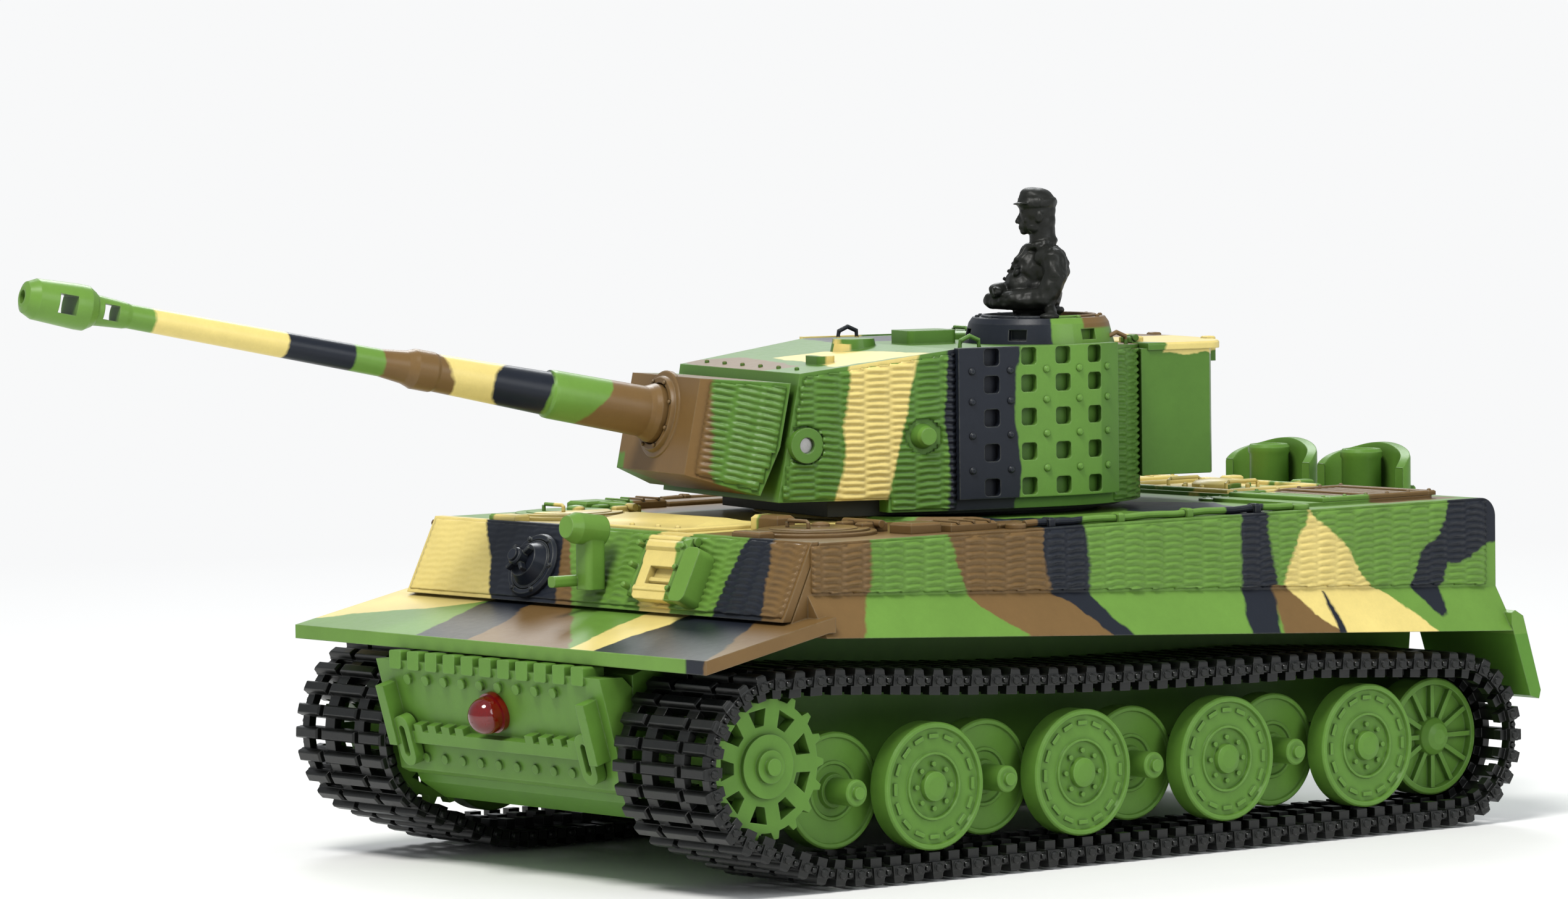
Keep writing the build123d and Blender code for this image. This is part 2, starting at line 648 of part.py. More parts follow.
def sprockets():
    """Drive sprockets: two toothed discs on a stepped drum."""
    # outlines as (outward, across)
    tooth = [(0, -0.5), (0.3, -0.42), (0.89, -0.22), (0.89, 0.22), (0.3, 0.42), (0, 0.5)]
    window = [(-0.62, -0.42), (0.68, -0.86), (0.68, 0.86), (-0.62, 0.42)]
    discs = ((16.5, 1.0), (23.6, 1.2))                      # x, thickness
    drum = ((hub_x, 2.9, 9.8), (24.8, 2.5, 0.4),            # x, radius, length
            (25.2, 1.3, 0.35), (25.55, 0.68, 0.4))
    for hand, ending in both_sides:
        with BuildPart() as part:
            for x, thickness in discs:
                with BuildSketch(outward(hand, x, sprocket_y, sprocket_z)):
                    Circle(sprocket_root)
                    with PolarLocations(sprocket_root - 0.3, sprocket_teeth):
                        Polygon(*tooth, align=None)
                    with PolarLocations(3.75, 9, start_angle=20):
                        Polygon(*window, align=None, mode=Mode.SUBTRACT)
                extrude(amount=thickness)
            for x, radius, length in drum:
                with BuildSketch(outward(hand, x, sprocket_y, sprocket_z)):
                    Circle(radius)
                extrude(amount=length)
            # socket for the drive axle
            with BuildSketch(outward(hand, 14.9, sprocket_y, sprocket_z)):
                Circle(axle_r)
            extrude(amount=9.0, mode=Mode.SUBTRACT)
        save(part, "sprocket" + ending)


def wheel_pins():
    """Fixed steel pins that the wheels run on."""
    rows = ((outer_wheel_y, wheel_z, 12.5), (inner_wheel_y, wheel_z, 12.3),
            ((idler_y,), idler_z, 10.4))                    # places, height, length
    with BuildPart() as part:
        for hand in (1, -1):
            for places, z, length in rows:
                with BuildSketch(outward(hand, 12.6)):
                    with Locations(*[(hand * y, z) for y in places]):
                        Circle(pin_r)
                extrude(amount=length)
    save(part, "wheel_pins")


# ---------------------------------------------------------------- drive train
def axle_bushes():
    with BuildPart() as part:
        for hand in (1, -1):
            with BuildSketch(outward(hand, 13.0, sprocket_y, sprocket_z)):
                Circle(bush_r)
                Circle(axle_r + 0.05, mode=Mode.SUBTRACT)
            extrude(amount=1.8)
    save(part, "axle_bushes")


def drive_axles():
    """Sprocket axles, each with its gear near the inner end."""
    for hand, ending in both_sides:
        plane = gear_plane(hand, 10.8, sprocket_y, sprocket_z)
        with BuildPart() as part:
            with BuildSketch(plane):
                Circle(axle_r)
            extrude(amount=hand * 13.1)
            with BuildSketch(plane.offset(hand * 0.3)):
                gear_outline(axle_teeth, lay_angle)
            extrude(amount=hand * 1.4)
        save(part, "drive_axle" + ending)


def compound_gears():
    """Large gear, driven by the motor pinion, with the small gear outside it."""
    large_t, small_t = 1.4, 2.2
    for hand, ending in both_sides:
        plane = gear_plane(hand, gear_x, lay_y, lay_z)
        with BuildPart() as part:
            with BuildSketch(plane):
                gear_outline(large_teeth, motor_angle)
            extrude(amount=hand * large_t)
            with BuildSketch(plane.offset(hand * large_t)):
                gear_outline(small_teeth, lay_angle + 180 + 180 / small_teeth)
            extrude(amount=hand * small_t)
            with BuildSketch(plane.offset(-hand * 0.1)):
                Circle(0.55)
            extrude(amount=hand * 4.0, mode=Mode.SUBTRACT)
        save(part, "compound_gear" + ending)


def motor_pinions():
    for hand, ending in both_sides:
        with BuildPart() as part:
            with BuildSketch(gear_plane(hand, gear_x, motor_y, motor_z)):
                gear_outline(pinion_teeth, motor_angle + 180 + 180 / pinion_teeth)
                Circle(pinion_bore_r, mode=Mode.SUBTRACT)
            extrude(amount=hand * 1.6)
        save(part, "motor_pinion" + ending)


def drive_motors():
    """Two motors back to back, each a can, a boss and a shaft."""
    can_len, boss_len = 7.3, 0.5
    with BuildPart() as part:
        for hand in (1, -1):
            can = outward(hand, 0.4, motor_y, motor_z)
            for start, radius, length in ((0, motor_r, can_len), (can_len, 1.2, boss_len),
                                          (can_len + boss_len, motor_shaft_r, 2.3)):
                with BuildSketch(can.offset(start)):
                    Circle(radius)
                extrude(amount=length)
    save(part, "drive_motors")


def gearbox_brackets():
    """Upright plates that carry the motors and the compound gears' pins."""
    outline = [(-39.0, 7.0), (-36.6, floor_top), (-22.4, floor_top), (-22.4, 16.6),
               (-36.0, 16.6), (-39.0, 14.0)]        # (y, z)
    with BuildPart() as part:
        for hand in (1, -1):
            plate = outward(hand, bracket_x)
            with BuildSketch(plate):
                Polygon(*[(hand * y, z) for y, z in outline], align=None)
                with Locations((hand * motor_y, motor_z)):
                    Circle(1.25, mode=Mode.SUBTRACT)
            extrude(amount=bracket_t)
            # pin for the compound gear
            with BuildSketch(plate.offset(bracket_t)):
                with Locations((hand * lay_y, lay_z)):
                    Circle(0.5)
            extrude(amount=4.4)
            # foot
            with BuildSketch(top.offset(floor_top)):
                with Locations((hand * 6.9, -24.0)):
                    Rectangle(1.9, 3.0)
            extrude(amount=0.9)
    save(part, "gearbox_brackets")


# ---------------------------------------------------------------- inside the tub
def battery():
    with BuildPart() as part:
        with BuildSketch(top.offset(floor_top + 0.1)):
            with Locations((0, battery_y)):
                RectangleRounded(19.0, 27.0, 1.5)
        extrude(amount=8.0)
        fillet(part.faces().filter_by(Axis.Z).edges(), radius=0.8)
    save(part, "battery")


def battery_cover():
    """Cover in the floor opening, with finger grooves near its front end."""
    width, length = (size - 2 * hatch_gap for size in hatch_size)
    with BuildPart() as part:
        with BuildSketch(top.offset(floor_z)):
            with Locations((0, battery_y)):
                RectangleRounded(width, length, hatch_corner - hatch_gap)
        extrude(amount=1.1)
        with BuildSketch(top.offset(floor_z)):
            with Locations(*[(0, -10.2 + 0.9 * i) for i in range(4)]):
                Rectangle(7.0, 0.45)
        extrude(amount=0.3, mode=Mode.SUBTRACT)
    save(part, "battery_cover")


def control_board():
    board_z, board_t = 15.2, 1.0
    chips = (((-4.0, -6.0), (6.0, 4.2)), ((5.0, 4.0), (4.4, 4.4)),
             ((6.0, -8.0), (2.2, 4.6)))             # place, size
    with BuildPart() as part:
        with BuildSketch(top.offset(board_z)):
            with Locations((0, -1.0)):
                RectangleRounded(22.0, 26.0, 1.0)
        extrude(amount=board_t)
        # low rectangular components
        with BuildSketch(top.offset(board_z + board_t)):
            for place, size in chips:
                with Locations(place):
                    Rectangle(*size)
        extrude(amount=1.2)
        # tall round component
        with BuildSketch(top.offset(board_z + board_t)):
            with Locations((-6.0, 5.0)):
                Circle(1.9)
        extrude(amount=3.6)
    save(part, "control_board")


def charge_socket():
    with BuildPart() as part:
        with BuildSketch(top.offset(floor_top)):
            with Locations(socket_xy):
                RectangleRounded(5.0, 5.0, 0.5)
        extrude(amount=4.0)
        with BuildSketch(top.offset(floor_z)):
            with Locations(socket_xy):
                Circle(socket_r)
        extrude(amount=1.3)
        with BuildSketch(top.offset(floor_z)):
            with Locations(socket_xy):
                Circle(0.85)
        extrude(amount=4.0, mode=Mode.SUBTRACT)
    save(part, "charge_socket")


def switch_housing():
    with BuildPart() as part:
        with BuildSketch(top.offset(floor_top)):
            with Locations((switch_x, switch_y)):
                Rectangle(7.6, 4.0)
        extrude(amount=3.4)
        with BuildSketch(top.offset(floor_top)):
            with Locations((switch_x, switch_y)):
                Rectangle(5.2, 2.6)
        extrude(amount=1.3, mode=Mode.SUBTRACT)
    save(part, "switch_housing")


def switch_slider():
    """Slider at the right end of its slot: plate, knob and three grip grooves."""
    slider_x, knob_z = -5.05, 4.0
    with BuildPart() as part:
        with BuildSketch(top.offset(floor_top + 0.05)):
            with Locations((slider_x, switch_y)):
                Rectangle(3.0, 2.5)
        extrude(amount=1.1)
        with BuildSketch(top.offset(knob_z)):
            with Locations((slider_x, switch_y)):
                Rectangle(1.6, 1.45)
        extrude(amount=1.9)
        with BuildSketch(top.offset(knob_z)):
            with Locations(*[(slider_x + shift, switch_y) for shift in (-0.4, 0, 0.4)]):
                Rectangle(0.16, 1.5)
        extrude(amount=0.15, mode=Mode.SUBTRACT)
    save(part, "switch_slider")


def hull_screws():
    screws("hull_screws", top, post_xy, head_z=hull_screw_seat_z - 1.0,
           head=(1.2, 1.0), shank=(0.6, 15.0), cross=(1.5, 0.3, 0.5))


# ---------------------------------------------------------------- turret drive
def turret_motor():
    mount_h = turret_motor_z - floor_top
    motor_top = turret_motor_z + turret_motor_h
    with BuildPart() as part:
        with BuildSketch(top.offset(turret_motor_z)):
            with Locations((0, turret_motor_y)):
                Circle(motor_r)
        extrude(amount=turret_motor_h)
        with BuildSketch(top.offset(motor_top)):
            with Locations((0, turret_motor_y)):
                Circle(motor_shaft_r)
        extrude(amount=2.2)
        # square mount on the floor
        with BuildSketch(top.offset(floor_top)):
            with Locations((0, turret_motor_y)):
                Rectangle(9.6, 9.6)
        extrude(amount=mount_h)
    save(part, "turret_motor")


def turret_pinion():
    with BuildPart() as part:
        with BuildSketch(top.offset(23.8)):
            with Locations((0, turret_motor_y)):
                Circle(gear_module * pinion_teeth / 2 - 1.15 * gear_module)
                gear_outline(pinion_teeth, -90 + 180 / pinion_teeth)
                Circle(pinion_bore_r, mode=Mode.SUBTRACT)
        extrude(amount=1.5)
    save(part, "turret_pinion")


def turret_ring_gear():
    with BuildPart() as part:
        with BuildSketch(turret_top.offset(ring_gear_z)):
            gear_outline(ring_teeth, 90 - turret_yaw)
            Circle(neck_bore_r, mode=Mode.SUBTRACT)
            with Locations(*turret_screw_xy):
                Circle(0.65, mode=Mode.SUBTRACT)
        extrude(amount=ring_gear_t)
    save(part, "turret_ring_gear")


def turret_base():
    """Turret floor with its neck below and screw bosses above."""
    with BuildPart() as part:
        with BuildSketch(turret_top.offset(27.05)):
            with BuildLine():
                turret_outline(9.6, -18.6, shoulder_y, 11.9)
            make_face()
        extrude(amount=1.45)
        with BuildSketch(turret_top.offset(neck_z)):
            Circle(neck_r)
        extrude(amount=1.8)
        with BuildSketch(turret_top.offset(neck_z)):
            Circle(neck_bore_r)
        extrude(amount=5.0, mode=Mode.SUBTRACT)
        with BuildSketch(turret_top.offset(28.5)):
            with Locations(*turret_screw_xy):
                Circle(1.4)
        extrude(amount=2.0)
        with BuildSketch(turret_top.offset(neck_z)):
            with Locations(*turret_screw_xy):
                Circle(0.5)
        extrude(amount=4.6, mode=Mode.SUBTRACT)
    save(part, "turret_base")


def turret_screws():
    screws("turret_screws", turret_top, turret_screw_xy, head_z=ring_gear_z - 0.9,
           head=(1.1, 0.9), shank=(0.5, 5.6), cross=(1.3, 0.28, 0.45))


# ---------------------------------------------------------------- turret
def turret_shell():
    # side outlines of what is cut away, as (y, z)
    ahead_of_front = [(-30, 20), (-30, 50), (-19.7, 50), (-21.7, 38.4), (-23.5, 28.6), (-24.0, 20)]
    under_front = [(-30, 20), (-14.5, 20), (-14.5, 28.45), (-30, 28.45)]
    over_roof = [(-30, 38.0), (-21.6, 38.75), (-9.0, 40.4), (4.0, 40.4), (20.0, 39.6),
                 (20, 50), (-30, 50)]
    with BuildPart() as part:
        with BuildSketch(turret_top.offset(27.4)):
            with BuildLine():
                turret_outline(10.4, -24.6, cheek_y, turret_r)
            make_face()
        extrude(amount=14.0)
        # sloping front wall, stepped underside and roof line
        with BuildSketch(turret_side.offset(-20)):
            Polygon(*ahead_of_front, align=None)
            Polygon(*under_front, align=None)
            Polygon(*over_roof, align=None)
        extrude(amount=40, mode=Mode.SUBTRACT)
        # cavity
        with BuildSketch(turret_top.offset(20)):
            with BuildLine():
                turret_outline(9.2, -20.8, shoulder_y, 12.1)
            make_face()
        extrude(amount=17.2, mode=Mode.SUBTRACT)
        # gun opening in the front wall
        with BuildSketch(turret_front.offset(18)):
            with Locations((0, 33.5)):
                Rectangle(13.0, 7.4)
        extrude(amount=8, mode=Mode.SUBTRACT)
        # trunnion rings and their bores
        for hand in (-1, 1):
            with BuildSketch(turret_side.offset(hand * 10.2)):
                with Locations((trunnion_y, trunnion_z)):
                    Circle(1.43)
            extrude(amount=hand * 1.35)
        with BuildSketch(turret_side.offset(-16)):
            with Locations((trunnion_y, trunnion_z)):
                Circle(trunnion_r)
        extrude(amount=32, mode=Mode.SUBTRACT)
        # domed pistol ports
        for hand in (-1, 1):
            with BuildSketch(turret_side.offset(hand * 12.0)):
                with Locations((-11.6, 33.5)):
                    Circle(1.35)
            extrude(amount=hand * 2.0, taper=18)
        # roof: fan dome, sight guard, periscope
        with BuildSketch(turret_top.offset(39.0)):
            with Locations((0, -11.2)):
                Circle(2.1)
        extrude(amount=1.9, taper=12)
        with BuildSketch(turret_top.offset(39.6)):
            with Locations((1.6, -5.6)):
                RectangleRounded(3.6, 4.4, 0.5)
        extrude(amount=1.9)
        with BuildSketch(turret_top.offset(38.4)):
            with Locations((6.2, -17.4)):
                RectangleRounded(2.6, 1.6, 0.4)
        extrude(amount=1.5)
        # opening under the cupola, and the cupola's seat
        for z, radius in ((36, cupola_bore_r), (cupola_z, 6.4)):
            with BuildSketch(turret_top.offset(z)):
                with Locations((cupola_x, cupola_y)):
                    Circle(radius)
            extrude(amount=8, mode=Mode.SUBTRACT)
    save(part, "turret_shell")


def cupola():
    with BuildPart() as part:
        # tapered wall
        with BuildSketch(turret_top.offset(cupola_z)):
            with Locations((cupola_x, cupola_y)):
                Circle(6.3)
        with BuildSketch(turret_top.offset(cupola_roof_z)):
            with Locations((cupola_x, cupola_y)):
                Circle(cupola_roof_r)
        loft()
        # bevelled rim
        with BuildSketch(turret_top.offset(cupola_roof_z)):
            with Locations((cupola_x, cupola_y)):
                Circle(cupola_roof_r)
        extrude(amount=0.45, taper=35)
        with BuildSketch(turret_top.offset(cupola_z)):
            with Locations((cupola_x, cupola_y)):
                Circle(cupola_bore_r)
        extrude(amount=4.0, mode=Mode.SUBTRACT)
        # vision slots
        with BuildSketch(turret_top.offset(40.7)):
            with Locations((cupola_x, cupola_y)):
                with PolarLocations(6.0, 6, start_angle=15):
                    Rectangle(1.4, 1.5)
        extrude(amount=0.85, mode=Mode.SUBTRACT)
    save(part, "cupola")


def commander_figure():
    """Half figure standing in the cupola."""
    # height, place behind the cupola's axis, half width, half depth
    torso = ((40.2, 0, 3.2, 2.3), (44.6, 0, 2.9, 1.9), (48.0, 0.3, 2.0, 1.3))
    with BuildPart() as part:
        for z, back, half_width, half_depth in torso:
            with BuildSketch(turret_top.offset(z)):
                with Locations((cupola_x, cupola_y + back)):
                    Ellipse(half_width, half_depth)
        loft()
        # neck, head and cap
        with BuildSketch(turret_top.offset(47.8)):
            with Locations((cupola_x, cupola_y + 0.2)):
                Circle(0.8)
        extrude(amount=2.4)
        with Locations(Location(turret_point(cupola_x, cupola_y, 51.0))):
            Sphere(1.55)
        with BuildSketch(turret_top.offset(51.4)):
            with Locations((cupola_x, cupola_y)):
                Ellipse(1.8, 2.0)
        extrude(amount=1.7)
        # foot in the cupola's well
        with BuildSketch(turret_top.offset(38.6)):
            with Locations((cupola_x, cupola_y)):
                Circle(2.0)
        extrude(amount=1.7)
        # folded arms
        with BuildSketch(turret_top.offset(43.4)):
            with Locations((cupola_x, cupola_y - 1.9)):
                SlotOverall(6.0, 1.6)
        extrude(amount=1.5)
    save(part, "commander_figure")


def stowage_bin():
    """Bin against the round rear of the turret."""
    half, corner_y, bulge_y, start_y = 9.1, 17.0, 20.0, 10.6
    with BuildPart() as part:
        with BuildSketch(turret_top.offset(29.3)):
            with BuildLine():
                Polyline((half, start_y), (half, corner_y))
                ThreePointArc((half, corner_y), (0, bulge_y), (-half, corner_y))
                Polyline((-half, corner_y), (-half, start_y), (half, start_y))
            make_face()
            Circle(turret_r + 0.02, mode=Mode.SUBTRACT)
        extrude(amount=10.4)
    save(part, "stowage_bin")


def spare_link_panels():
    """Pierced panels along the turret's sides that carry the spare track links."""
    outer_r = turret_r + 0.75
    mid_angle, end_angle = radians(14), radians(27)
    holes = [(y, z) for y in (-6.0, -2.6, 0.55, 3.7) for z in (29.2, 32.0, 34.8, 37.5, 39.7)]

    def on_arc(hand, radius, angle):
        return (hand * radius * cos(angle), radius * sin(angle))

    with BuildPart() as part:
        for hand in (-1, 1):
            inner_mid = on_arc(hand, turret_r, mid_angle)
            inner_end = on_arc(hand, turret_r, end_angle)
            outer_mid = on_arc(hand, outer_r, mid_angle)
            outer_end = on_arc(hand, outer_r, end_angle)
            inner_x, outer_x = hand * turret_r, hand * outer_r
            with BuildSketch(turret_top.offset(28.3)):
                with BuildLine():
                    Polyline((inner_x, cheek_y), (inner_x, 0))
                    ThreePointArc((inner_x, 0), inner_mid, inner_end)
                    Polyline(inner_end, outer_end)
                    ThreePointArc(outer_end, outer_mid, (outer_x, 0))
                    Polyline((outer_x, 0), (outer_x, cheek_y), (inner_x, cheek_y))
                make_face()
            extrude(amount=12.2)
        for hand in (-1, 1):
            with BuildSketch(turret_side.offset(hand * 10.0)):
                with Locations(*holes):
                    RectangleRounded(1.4, 1.4, 0.3)
            extrude(amount=hand * 6, mode=Mode.SUBTRACT)
    save(part, "spare_link_panels")


def trunnion_pins():
    with BuildPart() as part:
        for hand in (-1, 1):
            with BuildSketch(turret_side.offset(hand * 7.0)):
                with Locations((trunnion_y, trunnion_z)):
                    Circle(trunnion_r)
            extrude(amount=hand * 4.2)
    save(part, "trunnion_pins")


# ---------------------------------------------------------------- gun
def mantlet():
    # side outline as (along the bore, up)
    flank = [(1.85, 3.95), (1.85, -1.2), (2.6, -5.35), (7.7, -4.65), (7.7, 3.2)]
    # what is cut off on the left, as (left, along the bore); mirrored on the right
    cheek_cut = [(30, -5), (10.8, -5), (10.8, 1.9), (6.3, 7.7), (6.3, 20), (30, 20)]
    # cross tube near the trunnions' line, in the gun's own frame
    tube_along = (gun_axis_z - trunnion_z) * tilt_sin
    tube_up = (trunnion_z - gun_axis_z) * tilt_cos
    tube_half = 6.2
    with BuildPart() as part:
        with BuildSketch(gun_flank.offset(-14)):
            Polygon(*flank, align=None)
        extrude(amount=28)
        with BuildSketch(gun_plan.offset(-10)):
            for hand in (-1, 1):
                Polygon(*[(hand * x, y) for x, y in cheek_cut], align=None)
        extrude(amount=20, mode=Mode.SUBTRACT)
        # recess round the barrel's collar, and the socket behind it
        with BuildSketch(gun_bore.offset(collar_start)):
            Circle(2.75)
        extrude(amount=3, mode=Mode.SUBTRACT)
        with BuildSketch(gun_bore.offset(tenon_start)):
            Circle(tenon_r)
        extrude(amount=1.5, mode=Mode.SUBTRACT)
        # cross tube and the arm that joins it, inside the turret
        with BuildSketch(gun_flank.offset(-tube_half)):
            with Locations((tube_along, tube_up)):
                Circle(1.5)
            with Locations((1.6, -0.2)):
                Rectangle(3.0, 2.6)
        extrude(amount=2 * tube_half)
    save(part, "mantlet")


def gun_barrel():
    """Stepped barrel with its muzzle brake."""
    # (distance along the bore, radius), from the mantlet to the muzzle
    profile = [
        (tenon_start, 0), (tenon_start, tenon_r), (collar_start, tenon_r), (collar_start, 2.4),
        (8.6, 2.4), (9.0, 2.2), (9.4, 2.06), (17.6, 1.98), (17.9, 1.94), (18.1, 1.76),
        (28.0, 1.52), (28.3, 1.62), (29.9, 1.62), (30.2, 1.5), (30.7, 1.34), (32.8, 1.1),
        (54.6, 0.96), (55.0, 1.05), (57.5, 1.24), (57.7, 1.42), (58.3, 1.78), (59.0, 1.8),
        (62.6, 1.62), (63.4, 1.25), (63.6, 0.8), (63.6, 0)]
    with BuildPart() as part:
        with BuildSketch(gun_flank):
            Polygon(*profile, align=None)
        revolve(axis=Axis(gun_origin, gun_dir))
        # ports of the muzzle brake
        with BuildSketch(gun_flank.offset(-3)):
            with Locations((60.3, 0)):
                Rectangle(1.5, 1.5)
            with Locations((56.4, 0)):
                Rectangle(1.3, 1.2)
        extrude(amount=6, mode=Mode.SUBTRACT)
        # bore
        with BuildSketch(gun_bore.offset(60.0)):
            Circle(0.55)
        extrude(amount=5, mode=Mode.SUBTRACT)
    save(part, "gun_barrel")


# ---------------------------------------------------------------- build everything
for build in (
        lower_hull, upper_hull, driver_plate, front_fittings, nose_plate, led_lens,
        exhaust_shields, tracks, wheels, sprockets, wheel_pins,
        axle_bushes, drive_axles, compound_gears, motor_pinions, drive_motors, gearbox_brackets,
        battery, battery_cover, control_board, charge_socket, switch_housing, switch_slider,
        hull_screws, turret_motor, turret_pinion, turret_ring_gear, turret_base, turret_screws,
        turret_shell, cupola, commander_figure, stowage_bin, spare_link_panels, trunnion_pins,
        mantlet, gun_barrel):
    build()
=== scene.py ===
"""Looks of a small radio-controlled tank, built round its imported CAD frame.

The tank stands on z = 0 and faces -y, so its left side is at +x. The turret is turned
towards the tank's right and the gun is raised. Lengths are in mm until a mesh is made.
"""
import json
import math
import random

import bmesh
import bpy
from mathutils import Matrix, Vector, noise


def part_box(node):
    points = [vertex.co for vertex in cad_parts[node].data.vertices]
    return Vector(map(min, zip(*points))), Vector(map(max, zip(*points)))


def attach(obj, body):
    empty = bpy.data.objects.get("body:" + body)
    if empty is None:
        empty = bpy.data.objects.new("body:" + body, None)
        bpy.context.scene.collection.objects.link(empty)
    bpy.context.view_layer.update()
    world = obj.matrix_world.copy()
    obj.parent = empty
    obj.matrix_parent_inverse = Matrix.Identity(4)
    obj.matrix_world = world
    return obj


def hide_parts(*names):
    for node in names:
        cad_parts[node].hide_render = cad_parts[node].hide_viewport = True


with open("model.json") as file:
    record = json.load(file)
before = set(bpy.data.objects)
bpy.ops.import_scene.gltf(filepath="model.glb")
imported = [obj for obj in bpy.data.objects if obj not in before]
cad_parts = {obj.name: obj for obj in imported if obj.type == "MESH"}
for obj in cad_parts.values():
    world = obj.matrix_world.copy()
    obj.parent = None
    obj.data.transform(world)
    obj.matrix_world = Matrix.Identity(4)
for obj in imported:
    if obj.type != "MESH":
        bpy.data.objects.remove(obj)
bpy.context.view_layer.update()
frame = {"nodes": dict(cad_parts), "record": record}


def at(x, y, z=0.0):
    return Matrix.Translation((x, y, z))


def turn(degrees, axis):
    return Matrix.Rotation(math.radians(degrees), 4, axis)


MM = 0.001
wheel_low, wheel_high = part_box("outer_wheel_1_left")
HULL_Y = round((wheel_low.y + wheel_high.y) / 2 / MM + 21.5, 3)
TURRET_BACK = 5.4                   # turret axis behind the hull's centre
TURRET_Y = HULL_Y + TURRET_BACK
YAW = -13                           # degrees
GUN_UP = 11.4                       # degrees
GUN_PIVOT = (0, -21.3, 33.76)       # in the turret
CUPOLA = (4.8, 3.4)                 # in the turret
DECK_Z = 26.7

HULL = at(0, HULL_Y)
TURRET = at(0, TURRET_Y) @ turn(YAW, "Z")
GUN = TURRET @ at(*GUN_PIVOT) @ turn(-GUN_UP, "X")
CREW = TURRET @ at(*CUPOLA) @ turn(-26.4, "Z")

LEFT, RIGHT = (1, 0, 0), (-1, 0, 0)
FRONT, REAR = (0, -1, 0), (0, 1, 0)
UP, DOWN = (0, 0, 1), (0, 0, -1)
SIDES = (("left", 1), ("right", -1))


